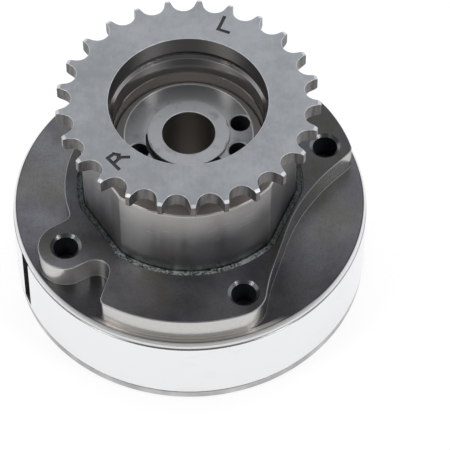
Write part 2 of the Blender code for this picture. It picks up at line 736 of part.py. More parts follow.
def make_sprocket(finish):
    chamfer = TIP_CHAMFER
    ease = BORE_CHAMFER
    back = SPROCKET_BACK_CHAMFER
    profile = [
        (SPROCKET_BORE_RADIUS + ease, SPROCKET_TOP),
        (TIP_RADIUS - 2 * chamfer, SPROCKET_TOP),
        (TIP_RADIUS, SPROCKET_TOP - chamfer),
        (TIP_RADIUS, SPROCKET_LOW + chamfer),
        (TIP_RADIUS - 2 * chamfer, SPROCKET_LOW),
        (COLLAR_RADIUS, SPROCKET_LOW),
        (COLLAR_RADIUS, SPROCKET_HUB_LOW + ease),
        (COLLAR_RADIUS - ease, SPROCKET_HUB_LOW),
        (SPROCKET_BORE_RADIUS + back, SPROCKET_HUB_LOW),
        (SPROCKET_BORE_RADIUS, SPROCKET_HUB_LOW + back),
        (SPROCKET_BORE_RADIUS, SPROCKET_TOP - ease),
    ]
    blank = turned("drive_sprocket", profile)
    seats = []
    pitch = 360.0 / TOOTH_COUNT
    for index in range(TOOTH_COUNT):
        outline = seat_outline(FIRST_TOOTH_ANGLE + (index + 0.5) * pitch)
        seats.append(extruded("chain_seats", outline, SPROCKET_LOW - CUT_PAST,
                              SPROCKET_TOP + CUT_PAST))
    cut(blank, joined(seats))
    return as_part(blank, "drive_sprocket", finish)


def make_rotor(finish):
    low = FRONT_SPIGOT_RECESS
    front = COVER_BORE_RADIUS - RUN_GAP
    seat = low + HEAD_SEAT_DEPTH
    profile = [
        (ROTOR_BORE_RADIUS + BORE_CHAMFER, BOSS_TOP),
        (BOSS_RADIUS, BOSS_TOP),
        (BOSS_RADIUS, ROTOR_FACE),
        (ROTOR_FACE_RADIUS, ROTOR_FACE),
        (JOURNAL_RADIUS, ROTOR_FACE - ROTOR_FACE_CHAMFER),
        (JOURNAL_RADIUS, VANE_TOP),
        (ROTOR_HUB_RADIUS, VANE_TOP),
        (ROTOR_HUB_RADIUS, ROTOR_LOW),
        (front, ROTOR_LOW),
        (front, low),
        (HEAD_SEAT_RADIUS, low),
        (HEAD_SEAT_RADIUS, seat),
        (ROTOR_BORE_RADIUS, seat),
        (ROTOR_BORE_RADIUS, BOSS_TOP - BORE_CHAMFER),
    ]
    rotor = turned("rotor", profile)
    blades = []
    for centre, half in vanes():
        blades.append(extruded("vanes", vane_outline(centre, half), ROTOR_LOW, VANE_TOP))
    join(rotor, joined(blades))
    cut(rotor, joined(seal_slots()))
    cut(rotor, joined(oil_holes()))
    ports = []
    for degrees in PORT_ANGLES:
        centre = polar(PORT_CIRCLE_RADIUS, degrees)
        ports.append(disc("ports", PORT_RADIUS, ROTOR_FACE - PORT_DEPTH, ROTOR_FACE + CUT_PAST,
                          HOLE_STEPS, centre))
    cut(rotor, joined(ports))
    groove = band_outline(BOSS_RADIUS, BOSS_RADIUS + OIL_GROOVE_WIDTH, OIL_GROOVE_START,
                          OIL_GROOVE_END)
    cut(rotor, extruded("oil_groove", groove, ROTOR_FACE - OIL_GROOVE_DEPTH,
                        ROTOR_FACE + BOSS_HEIGHT / 2))
    cut(rotor, disc("lock_bore", LOCK_PIN_RADIUS + RUN_GAP, ROTOR_LOW - CUT_PAST,
                    VANE_TOP + CUT_PAST, HOLE_STEPS, polar(LOCK_CIRCLE_RADIUS, lock_angle())))
    return as_part(rotor, "rotor", finish)


def seal_slots():
    """A slot across each vane's tip."""
    depth = SEAL_HEIGHT + SEAL_SPRING_ROOM
    slots = []
    for centre, _ in vanes():
        slot = block("seal_slots", (depth + CUT_PAST, SEAL_WIDTH + 2 * RUN_GAP,
                                    VANE_TOP - ROTOR_LOW + 2 * CUT_PAST))
        place_radially(slot, VANE_TIP_RADIUS - (depth - CUT_PAST) / 2, centre,
                       (VANE_TOP + ROTOR_LOW) / 2)
        slots.append(slot)
    return slots


def oil_holes():
    """Radial holes through the hub, one on each side of each vane."""
    holes = []
    quarter = (VANE_TOP - ROTOR_LOW) / 4
    reach = ROTOR_HUB_RADIUS - ROTOR_BORE_RADIUS + 2 * CUT_PAST
    for centre, half in vanes():
        for side, height in ((-1, ROTOR_LOW + 1.6 * quarter), (1, VANE_TOP - 0.8 * quarter)):
            swing = max(OIL_HOLE_OFFSET_ANGLE, half + OIL_HOLE_VANE_ANGLE)
            hole = disc("oil_holes", OIL_HOLE_RADIUS, -reach / 2, reach / 2, OIL_HOLE_STEPS)
            middle = (ROTOR_HUB_RADIUS + ROTOR_BORE_RADIUS) / 2
            x, y = polar(middle, centre + side * swing)
            hole.location = (x, y, height)
            turn = math.radians(centre + side * swing)
            hole.rotation_euler = (0.0, math.radians(90.0), turn)
            holes.append(hole)
    return holes


def make_screws(finish):
    """Countersunk screws with a plain hexagon socket."""
    low = SCREW_HEAD_INSET
    neck = low + SCREW_HEAD_RADIUS - SCREW_RADIUS
    tip = low + SCREW_LENGTH
    for number, degrees in enumerate(SCREW_ANGLES, start=1):
        profile = [
            (0.0, tip),
            (SCREW_RADIUS - SCREW_TIP_CHAMFER, tip),
            (SCREW_RADIUS, tip - SCREW_TIP_CHAMFER),
            (SCREW_RADIUS, neck),
            (SCREW_HEAD_RADIUS, low),
            (0.0, low),
        ]
        centre = polar(SCREW_CIRCLE_RADIUS, degrees)
        name = f"cover_screw_{number}"
        screw = turned(name, profile, HOLE_STEPS, centre)
        cut(screw, disc("screw_socket", SCREW_SOCKET_RADIUS, low - CUT_PAST,
                        low + SCREW_SOCKET_DEPTH, 6, centre))
        as_part(screw, name, finish)


def make_dowel(finish):
    ease = DOWEL_CHAMFER
    low = SPIGOT_LOW - DOWEL_LENGTH / 2
    high = SPIGOT_LOW + DOWEL_LENGTH / 2
    profile = [(0.0, high), (DOWEL_RADIUS - ease, high), (DOWEL_RADIUS, high - ease),
               (DOWEL_RADIUS, low + ease), (DOWEL_RADIUS - ease, low), (0.0, low)]
    centre = polar(DOWEL_CIRCLE_RADIUS, BACK_SCREW_ANGLE)
    return as_part(turned("locating_dowel", profile, HOLE_STEPS, centre), "locating_dowel", finish)


def make_seals(seal_finish, spring_finish):
    """A seal bar in each vane's slot, with a bowed leaf spring behind it."""
    length = VANE_TOP - ROTOR_LOW - FACE_GAP
    middle = (VANE_TOP + ROTOR_LOW) / 2
    outer = CHAMBER_RADIUS - RUN_GAP
    for number, (centre, _) in enumerate(vanes(), start=1):
        seal = block(f"vane_seal_{number}", (SEAL_HEIGHT, SEAL_WIDTH, length), SEAL_CROWN)
        place_radially(seal, outer - SEAL_HEIGHT / 2, centre, middle)
        as_part(seal, f"vane_seal_{number}", seal_finish)
        make_leaf_spring(number, centre, outer - SEAL_HEIGHT - FACE_GAP, middle, spring_finish)


def make_leaf_spring(number, degrees, back, middle, finish):
    """One bowed strip, its ends towards the hub and its bow against the seal."""
    half = (VANE_TOP - ROTOR_LOW) / 2 - SEAL_SPRING_SHORT
    outer_edge = []
    inner_edge = []
    for index in range(LEAF_STEPS + 1):
        along = -half + 2 * half * index / LEAF_STEPS
        sag = SEAL_SPRING_BOW * (along / half) ** 2
        outer_edge.append((-sag, along))
        inner_edge.append((-sag - SEAL_SPRING_THICKNESS, along))
    outline = outer_edge + inner_edge[::-1]
    strip = extruded(f"seal_spring_{number}", outline, -SEAL_WIDTH / 2, SEAL_WIDTH / 2)
    strip.data.transform(Matrix.Rotation(math.radians(90.0), 4, "X"))
    place_radially(strip, back, degrees, middle)
    as_part(strip, f"seal_spring_{number}", finish)


def make_lock(pin_finish, bush_finish, spring_finish):
    """The lock pin in the wide vane, its plug and spring, and the bush in the cover."""
    centre = polar(LOCK_CIRCLE_RADIUS, lock_angle())
    ease = LOCK_CHAMFER
    floor = PIN_TOP - LOCK_POCKET_DEPTH
    pin_profile = [
        (0.0, floor),
        (LOCK_POCKET_RADIUS, floor),
        (LOCK_POCKET_RADIUS, PIN_TOP),
        (LOCK_PIN_RADIUS, PIN_TOP),
        (LOCK_PIN_RADIUS, PIN_LOW + LOCK_NOSE_HEIGHT),
        (LOCK_NOSE_RADIUS, PIN_LOW + LOCK_NOSE_HEIGHT - ease),
        (LOCK_NOSE_RADIUS, PIN_LOW + ease),
        (LOCK_NOSE_RADIUS - ease, PIN_LOW),
        (0.0, PIN_LOW),
    ]
    as_part(turned("lock_pin", pin_profile, LOCK_STEPS, centre), "lock_pin", pin_finish)
    plug = disc("lock_plug", LOCK_PIN_RADIUS, PLUG_LOW, VANE_TOP, LOCK_STEPS, centre)
    as_part(plug, "lock_plug", pin_finish)
    bush_hole = LOCK_NOSE_RADIUS + RUN_GAP
    bush_low = COVER_THICKNESS - BUSH_HEIGHT
    bush_profile = [
        (bush_hole + ease, COVER_THICKNESS),
        (BUSH_RADIUS, COVER_THICKNESS),
        (BUSH_RADIUS, bush_low),
        (bush_hole, bush_low),
        (bush_hole, COVER_THICKNESS - ease),
    ]
    as_part(turned("lock_bush", bush_profile, LOCK_STEPS, centre), "lock_bush", bush_finish)
    make_lock_spring(centre, floor, spring_finish)


def make_lock_spring(centre, floor, finish):
    """A coil spring between the pin's pocket and the plug."""
    low = floor + FACE_GAP + SPRING_WIRE_RADIUS
    high = PLUG_LOW - FACE_GAP - SPRING_WIRE_RADIUS
    total = int(SPRING_TURNS * SPRING_STEPS)
    curve = bpy.data.curves.new("lock_spring", "CURVE")
    curve.dimensions = "3D"
    curve.bevel_depth = SPRING_WIRE_RADIUS
    curve.bevel_resolution = 1
    curve.use_fill_caps = True
    spline = curve.splines.new("POLY")
    spline.points.add(total)
    for index, point in enumerate(spline.points):
        x, y = polar(SPRING_COIL_RADIUS, 360.0 * index / SPRING_STEPS)
        z = low + (high - low) * index / total
        point.co = (centre[0] + x, centre[1] + y, z, 1.0)
    as_part(to_mesh(add_object("lock_spring", curve, PARTS)), "lock_spring", finish)


def carry(rotor):
    """Let the rotor carry the pieces that turn with it, about its own origin on the axis."""
    for number in range(1, len(vanes()) + 1):
        PARTS.objects[f"vane_seal_{number}"].parent = rotor
        PARTS.objects[f"seal_spring_{number}"].parent = rotor
    for name in ("lock_plug", "lock_spring", "lock_pin"):
        PARTS.objects[name].parent = rotor


def clear_scene():
    for thing in list(bpy.data.objects):
        bpy.data.objects.remove(thing, do_unlink=True)


def build():
    """Make every piece with its own finish."""
    matt_steel = material("matt_blue_steel", (0.30, 0.33, 0.36), 0.55, 0.9)
    turned_steel = material("turned_steel", (0.42, 0.40, 0.37), 0.32, 1.0)
    braze = material("braze", (0.26, 0.30, 0.27), 0.65, 0.7)
    sintered = material("sintered_steel", (0.10, 0.10, 0.10), 0.5, 0.8)
    polished = material("polished_steel", (0.80, 0.81, 0.82), 0.18, 1.0)
    cover_steel = material("cover_steel", (0.45, 0.46, 0.47), 0.4, 1.0)
    rotor_steel = material("rotor_steel", (0.30, 0.29, 0.29), 0.4, 0.95)
    black_steel = material("black_steel", (0.05, 0.05, 0.055), 0.45, 0.8)
    hard_steel = material("hard_steel", (0.55, 0.55, 0.54), 0.25, 1.0)
    seal_polymer = material("seal_polymer", (0.04, 0.035, 0.03), 0.6, 0.0)
    spring_steel = material("spring_steel", (0.38, 0.38, 0.40), 0.3, 1.0)
    make_sprocket(matt_steel)
    make_neck(turned_steel)
    make_braze_ring(braze)
    make_rear_plate(sintered)
    make_stator(polished)
    make_front_cover(cover_steel)
    rotor = make_rotor(rotor_steel)
    make_screws(black_steel)
    make_dowel(hard_steel)
    make_seals(seal_polymer, spring_steel)
    make_lock(hard_steel, cover_steel, spring_steel)
    carry(rotor)


clear_scene()
PARTS = new_collection("cam_phaser")
CUTTERS = new_collection("cutters")
build()
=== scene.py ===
"""Dressed model of a chain-driven cam phaser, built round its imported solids.

The phaser stands on its front cover. +Z runs along its axis towards the sprocket, and +Y points
away from the camera. Sizes are in metres, and angles are in degrees about the axis.
"""

import logging
import math
from dataclasses import dataclass
from enum import Enum
from typing import Iterable, Sequence

import bmesh
import bpy
from mathutils import Matrix, Vector


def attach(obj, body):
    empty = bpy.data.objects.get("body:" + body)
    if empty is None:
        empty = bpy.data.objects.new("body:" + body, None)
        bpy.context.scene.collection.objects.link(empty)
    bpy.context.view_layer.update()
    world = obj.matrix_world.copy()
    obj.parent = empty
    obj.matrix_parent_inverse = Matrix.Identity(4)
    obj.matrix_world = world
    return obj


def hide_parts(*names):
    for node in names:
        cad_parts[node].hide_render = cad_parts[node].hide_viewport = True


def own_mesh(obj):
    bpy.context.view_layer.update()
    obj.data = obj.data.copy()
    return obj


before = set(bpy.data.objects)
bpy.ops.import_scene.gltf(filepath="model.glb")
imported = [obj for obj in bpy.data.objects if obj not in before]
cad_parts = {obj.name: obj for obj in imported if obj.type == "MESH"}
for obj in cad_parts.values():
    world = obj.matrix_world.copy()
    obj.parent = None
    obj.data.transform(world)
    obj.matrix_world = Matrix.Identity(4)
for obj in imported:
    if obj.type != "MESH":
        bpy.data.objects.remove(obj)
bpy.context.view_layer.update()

LOG = logging.getLogger("cam_phaser")
MM = 0.001
Flat = tuple[float, float]
Corner = tuple[float, float, float]
Colour = tuple[float, float, float]
Solid = bpy.types.Object
BLACK = (0.0, 0.0, 0.0)


class Body(Enum):
    """The rigid bodies that pieces ride on."""

    HOUSING = "housing"
    ROTOR = "rotor"


class Cut(Enum):
    """How one solid changes another."""

    AWAY = "DIFFERENCE"
    TOGETHER = "UNION"


@dataclass(frozen=True)
class Fineness:
    """How finely round shapes are divided."""

    ring: int = 200
    hole: int = 48
    arc_step: float = 1.8
    fillet: int = 9
    ease: int = 4
    straight: float = 177.0
    sharpest: float = 0.3
    level: float = 0.97
    weld: float = 0.002 * MM
    flat: float = 0.002
    crease: float = 33.0


FINE = Fineness()


@dataclass(frozen=True)
class Stack:
    """Radii and heights that more than one piece shares."""

    gap: float = 0.3 * MM
    past: float = 1.0 * MM
    cover_top: float = 3.0 * MM
    stator_low: float = 3.3 * MM
    stator_top: float = 23.0 * MM
    spigot_low: float = 19.8 * MM
    plate_low: float = 23.3 * MM
    plate_top: float = 25.1 * MM
    pad_top: float = 32.3 * MM
    neck_low: float = 27.5 * MM
    shoulder: float = 55.3 * MM
    neck_top: float = 60.7 * MM
    hub_low: float = 61.0 * MM
    sprocket_low: float = 62.8 * MM
    sprocket_top: float = 67.1 * MM
    vane_top: float = 19.5 * MM
    screw_circle: float = 38.2 * MM
    screw_radius: float = 2.95 * MM
    lock_circle: float = 31.5 * MM
    lock_angle: float = 239.85
    collar_radius: float = 23.5 * MM
    dowel_radius: float = 1.8 * MM
    dowel_circle: float = 30.0 * MM
    dowel_low: float = 15.5 * MM
    dowel_high: float = 24.1 * MM


STACK = Stack()
SCREW_ANGLES = (19.0, 112.0, 212.8, 291.9)


def polar(radius: float, degrees: float, centre: Flat = (0.0, 0.0)) -> Flat:
    """Give the point at a radius and an angle about a centre."""
    turn = math.radians(degrees)
    return (centre[0] + radius * math.cos(turn), centre[1] + radius * math.sin(turn))


SCREW_PLACES = [polar(STACK.screw_circle, degrees) for degrees in SCREW_ANGLES]
LOCK_PLACE = polar(STACK.lock_circle, STACK.lock_angle)
DOWEL_PLACE = polar(STACK.dowel_circle, SCREW_ANGLES[1])


def arc(radius: float, start: float, end: float, centre: Flat = (0.0, 0.0),
        step: float = FINE.arc_step) -> list[Flat]:
    """Divide a circular arc into points.

    Args:
        radius: Radius of the arc.
        start: First angle.
        end: Last angle, which may be less than the first.
        centre: Centre of the arc.
        step: Largest angle between two points.

    Returns:
        The points, both ends included.
    """
    count = max(2, round(abs(end - start) / step) + 1)
    return [polar(radius, start + (end - start) * i / (count - 1), centre) for i in range(count)]


def plain(points: Iterable[Flat]) -> list[Corner]:
    """Mark points as corners that keep no fillet."""
    return [(x, y, 0.0) for x, y in points]


def eased(radius: float) -> list[Flat]:
    """Give a rounded edge's points, as distance from its wall and depth below its top."""
    turns = [math.pi / 2 * step / FINE.ease for step in range(FINE.ease + 1)]
    return [(radius * (1 - math.cos(turn)), radius * (1 - math.sin(turn))) for turn in turns]


def rounded(corners: Sequence[Corner], closed: bool = True, steps: int = FINE.fillet) -> list[Flat]:
    """Turn corners with fillet radii into a smooth outline.

    Args:
        corners: Each corner as its place and its fillet radius.
        closed: Whether the last corner joins the first.
        steps: Number of divisions in each fillet.

    Returns:
        The outline's points.
    """
    points: list[Flat] = []
    total = len(corners)
    for index, (x, y, radius) in enumerate(corners):
        end_point = not closed and index in (0, total - 1)
        here = Vector((x, y))
        to_last = (Vector(corners[index - 1][:2]) - here).normalized()
        to_next = (Vector(corners[(index + 1) % total][:2]) - here).normalized()
        if end_point or radius <= 0.0 or to_last.angle(to_next) > math.radians(FINE.straight):
            points.append((x, y))
            continue
        half = to_last.angle(to_next) / 2
        reach = radius / math.tan(half)
        middle = here + (to_last + to_next).normalized() * (radius / math.sin(half))
        first = here + to_last * reach - middle
        turn = first.angle_signed(here + to_next * reach - middle)
        for step in range(steps + 1):
            spoke = first.copy()
            spoke.rotate(Matrix.Rotation(-turn * step / steps, 2))
            points.append(tuple(middle + spoke))
    return points


def offset(outline: Sequence[Flat], distance: float) -> list[Flat]:
    """Move an anticlockwise outline outwards.

    Args:
        outline: The closed outline.
        distance: How far it moves; a negative one moves it inwards.

    Returns:
        The moved outline, point for point.
    """
    moved: list[Flat] = []
    total = len(outline)
    for index, point in enumerate(outline):
        here = Vector(point)
        before = (here - Vector(outline[index - 1])).normalized()
        after = (Vector(outline[(index + 1) % total]) - here).normalized()
        normal = Vector((before.y, -before.x)) + Vector((after.y, -after.x))
        normal.normalize()
        stretch = distance / max(FINE.sharpest, normal.dot(Vector((after.y, -after.x))))
        moved.append(tuple(here + normal * stretch))
    return moved


class Form:
    """Makes mesh objects and joins or cuts them."""

    @staticmethod
    def from_mesh(mesh: bpy.types.Mesh) -> Solid:
        """Link a mesh to the scene as an object of its own."""
        made = bpy.data.objects.new(mesh.name, mesh)
        bpy.context.scene.collection.objects.link(made)
        return made

    @staticmethod
    def from_faces(points: Sequence[Sequence[float]], faces: Sequence[Sequence[int]]) -> Solid:
        """Make a closed solid from points and faces.

        Args:
            points: Its corners.
            faces: The corners of each face, by number.

        Returns:
            The object, its faces turned outwards.
        """
        mesh = bpy.data.meshes.new("solid")
        mesh.from_pydata(points, [], faces)
        work = bmesh.new()
        work.from_mesh(mesh)
        bmesh.ops.recalc_face_normals(work, faces=work.faces)
        work.to_mesh(mesh)
        work.free()
        return Form.from_mesh(mesh)

    @staticmethod
    def loop(points: Sequence[Sequence[float]]) -> Solid:
        """Make a closed line of edges.

        Args:
            points: Its corners in order.

        Returns:
            The object.
        """
        mesh = bpy.data.meshes.new("solid")
        total = len(points)
        mesh.from_pydata(points, [(i, (i + 1) % total) for i in range(total)], [])
        return Form.from_mesh(mesh)

    @staticmethod
    def turned(profile: Sequence[Flat], steps: int = FINE.ring,
               centre: Flat = (0.0, 0.0)) -> Solid:
        """Turn a closed profile about an upright axis.

        Args:
            profile: Points as radius and height; a radius of zero lies on the axis.
            steps: Number of divisions round the axis.
            centre: Place of the axis.

        Returns:
            The turned solid.
        """
        points: list[tuple[float, float, float]] = []
        rings: list[list[int]] = []
        for radius, height in profile:
            first = len(points)
            if radius < 1e-7:
                points.append((*centre, height))
                rings.append([first])
                continue
            for index in range(steps):
                points.append((*polar(radius, 360.0 * index / steps, centre), height))
            rings.append(list(range(first, first + steps)))
        pairs = list(zip(rings, rings[1:]))
        if len(rings[0]) > 1:
            pairs.append((rings[-1], rings[0]))
        faces: list[tuple[int, ...]] = []
        for low, high in pairs:
            for index in range(steps):
                after = (index + 1) % steps
                if len(low) > 1 and len(high) > 1:
                    faces.append((low[index], low[after], high[after], high[index]))
                elif len(high) > 1:
                    faces.append((low[0], high[after], high[index]))
                elif len(low) > 1:
                    faces.append((low[index], low[after], high[0]))
        return Form.from_faces(points, faces)

    @staticmethod
    def disc(radius: float, low: float, high: float, centre: Flat = (0.0, 0.0),
             steps: int = FINE.hole) -> Solid:
        """Make a plain round solid between two heights."""
        profile = [(0.0, high), (radius, high), (radius, low), (0.0, low)]
        return Form.turned(profile, steps, centre)

    @staticmethod
    def raised(outline: Sequence[Flat], low: float, high: float, top: float = 0.0) -> Solid:
        """Raise a flat outline between two heights.

        Args:
            outline: The closed outline, anticlockwise.
            low: Lower height.
            high: Upper height.
            top: Radius of the rounded upper edge.

        Returns:
            The raised solid.
        """
        edge = [(-inwards, high - drop) for inwards, drop in eased(top)]
        return Form.stacked(outline, [(0.0, low)] + (edge if top else [(0.0, high)]))

    @staticmethod
    def cutter(outline: Sequence[Flat], low: float, high: float, ease: float) -> Solid:
        """Make a cutter that goes right through a plate and rounds both edges that it leaves.

        Args:
            outline: The closed outline, anticlockwise.
            low: Height of the plate's lower face.
            high: Height of its upper face.
            ease: Radius of the rounded edges.

        Returns:
            The cutter, which runs past both faces.
        """
        flare = eased(ease)
        return Form.stacked(outline, [
            (ease, low - STACK.past), *((out, low + rise) for out, rise in reversed(flare)),
            *((out, high - drop) for out, drop in flare), (ease, high + STACK.past)])

    @staticmethod
    def stacked(outline: Sequence[Flat], loops: Sequence[Flat]) -> Solid:
        """Stack copies of an outline into a solid.

        Args:
            outline: The closed outline, anticlockwise.
            loops: How far each copy is moved outwards, and its height, from the lowest up.

        Returns:
            The closed solid.
        """
        points: list[tuple[float, float, float]] = []
        for distance, height in loops:
            ring = offset(outline, distance) if distance else outline
            points.extend((x, y, height) for x, y in ring)
        total = len(outline)
        faces: list[tuple[int, ...]] = [tuple(range(total))[::-1]]
        for level in range(len(loops) - 1):
            base = level * total
            for index in range(total):
                after = (index + 1) % total
                faces.append((base + index, base + after, base + total + after,
                              base + total + index))
        faces.append(tuple(range((len(loops) - 1) * total, len(loops) * total)))
        return Form.from_faces(points, faces)

    @staticmethod
    def block(size: Sequence[float], centre: Sequence[float], degrees: float) -> Solid:
        """Make a box about a centre, turned about the upright axis.

        Args:
            size: Its three lengths.
            centre: Its middle.
            degrees: How far it is turned.

        Returns:
            The box.
        """
        half = Vector(size) / 2
        turn = Matrix.Rotation(math.radians(degrees), 2)
        corners = [Vector(centre[:2]) + turn @ Vector((x * half.x, y * half.y))
                   for x, y in ((-1, -1), (1, -1), (1, 1), (-1, 1))]
        return Form.raised(corners, centre[2] - half.z, centre[2] + half.z)

    @staticmethod
    def settled(thing: Solid) -> Solid:
        """Turn an object's modifiers into its own mesh.

        Args:
            thing: The object.

        Returns:
            The object, without modifiers.
        """
        bpy.context.view_layer.update()
        graph = bpy.context.evaluated_depsgraph_get()
        mesh = bpy.data.meshes.new_from_object(thing.evaluated_get(graph))
        thing.modifiers.clear()
        old = thing.data
        thing.data = mesh
        bpy.data.meshes.remove(old)
        return thing

    @staticmethod
    def joined(things: Sequence[Solid]) -> Solid:
        """Gather separate solids into one object.

        Args:
            things: The solids, which are used up apart from the first.

        Returns:
            The first object, which now holds them all.
        """
        work = bmesh.new()
        for thing in things:
            work.from_mesh(thing.data)
        work.to_mesh(things[0].data)
        work.free()
        for thing in things[1:]:
            bpy.data.objects.remove(thing)
        return things[0]

    @staticmethod
    def change(base: Solid, *tools: Solid, how: Cut = Cut.AWAY) -> Solid:
        """Cut tools out of a solid, or join them on.

        Args:
            base: The solid that changes.
            tools: The other solids, which don't touch each other and are used up.
            how: Whether the tools are cut away or joined.

        Returns:
            The changed solid.
        """
        tool = Form.joined(tools)
        boolean = base.modifiers.new("change", "BOOLEAN")
        boolean.operation = how.value
        boolean.solver = "EXACT"
        boolean.object = tool
        Form.settled(base)
        bpy.data.objects.remove(tool)
        return base

    @staticmethod
    def finished(thing: Solid) -> Solid:
        """Weld a solid, and shade its round faces smooth and its flat ones flat.

        Args:
            thing: The solid.

        Returns:
            The solid.
        """
        work = bmesh.new()
        work.from_mesh(thing.data)
        bmesh.ops.remove_doubles(work, verts=work.verts, dist=FINE.weld)
        bmesh.ops.dissolve_limit(work, angle_limit=FINE.flat, verts=work.verts, edges=work.edges,
                                 delimit={"MATERIAL"})
        work.to_mesh(thing.data)
        work.free()
        thing.data.shade_smooth()
        thing.data.set_sharp_from_angle(angle=math.radians(FINE.crease))
        weighted = thing.modifiers.new("weighted", "WEIGHTED_NORMAL")
        weighted.keep_sharp = True
        weighted.weight = 80
        return Form.settled(thing)


class Val:
    """A value in a node tree that takes part in Python expressions."""

    def __init__(self, tree: "Tree", socket: bpy.types.NodeSocket) -> None:
        """Keep the socket and the tree that it belongs to."""
        self.tree = tree
        self.socket = socket

    def op(self, operation: str, *others: "Val | float") -> "Val":
        """Add one Math node on this value and others."""
        return self.tree.math(operation, self, *others)

    def __add__(self, other: "Val | float") -> "Val":
        """Add."""
        return self.op("ADD", other)

    __radd__ = __add__

    def __sub__(self, other: "Val | float") -> "Val":
        """Subtract."""
        return self.op("SUBTRACT", other)

    def __rsub__(self, other: float) -> "Val":
        """Subtract from a number."""
        return self.tree.math("SUBTRACT", other, self)

    def __mul__(self, other: "Val | float") -> "Val":
        """Multiply."""
        return self.op("MULTIPLY", other)

    __rmul__ = __mul__

    def __rtruediv__(self, other: float) -> "Val":
        """Divide a number."""
        return self.tree.math("DIVIDE", other, self)

    def most(self, other: "Val") -> "Val":
        """Give the larger of two values."""
        return self.op("MAXIMUM", other)

    def rise(self, low: float, high: float) -> "Val":
        """Rise smoothly from 0 at one value to 1 at another."""
        return self.tree.out("ShaderNodeMapRange", {
            "Value": self, "From Min": low, "From Max": high}, interpolation_type="SMOOTHSTEP")

    def fall(self, low: float, high: float) -> "Val":
        """Fall smoothly from 1 at one value to 0 at another."""
        return 1.0 - self.rise(low, high)

    def within(self, low: float, high: float, soft: float) -> "Val":
        """Give 1 between two limits and 0 outside, with soft borders."""
        return self.rise(low - soft, low) * self.fall(high, high + soft)


class Tree:
    """A node tree, in which one method makes every node."""

    def __init__(self, tree: bpy.types.NodeTree) -> None:
        """Keep the tree."""
        self.tree = tree

    def node(self, kind: str, inputs: "dict[str | int, object]",
             **settings: object) -> bpy.types.Node:
        """Add a node.

        Args:
            kind: The node's type.
            inputs: A value, a link or a Val for each socket.
            settings: Its settings, which are made first.

        Returns:
            The node.
        """
        made = self.tree.nodes.new(kind)
        for key, value in settings.items():
            setattr(made, key, value)
        for key, value in inputs.items():
            self.feed(made.inputs[key], value)
        return made

    def out(self, kind: str, inputs: "dict[str | int, object]", output: "str | int" = 0,
            **settings: object) -> Val:
        """Add a node and give one of its outputs."""
        return Val(self, self.node(kind, inputs, **settings).outputs[output])

    def feed(self, socket: bpy.types.NodeSocket, value: object) -> None:
        """Link or set one socket."""
        if isinstance(value, Val):
            self.tree.links.new(value.socket, socket)
        elif socket.type == "RGBA":
            socket.default_value = (*value, 1.0)
        else:
            socket.default_value = value

    def math(self, operation: str, *values: "Val | float") -> Val:
        """Add a Math node."""
        return self.out("ShaderNodeMath", dict(enumerate(values)), operation=operation)


def shade_of(colour: Colour, factor: float) -> Colour:
    """Give a darker or paler shade of a colour."""
    return tuple(min(1.0, factor * part) for part in colour)


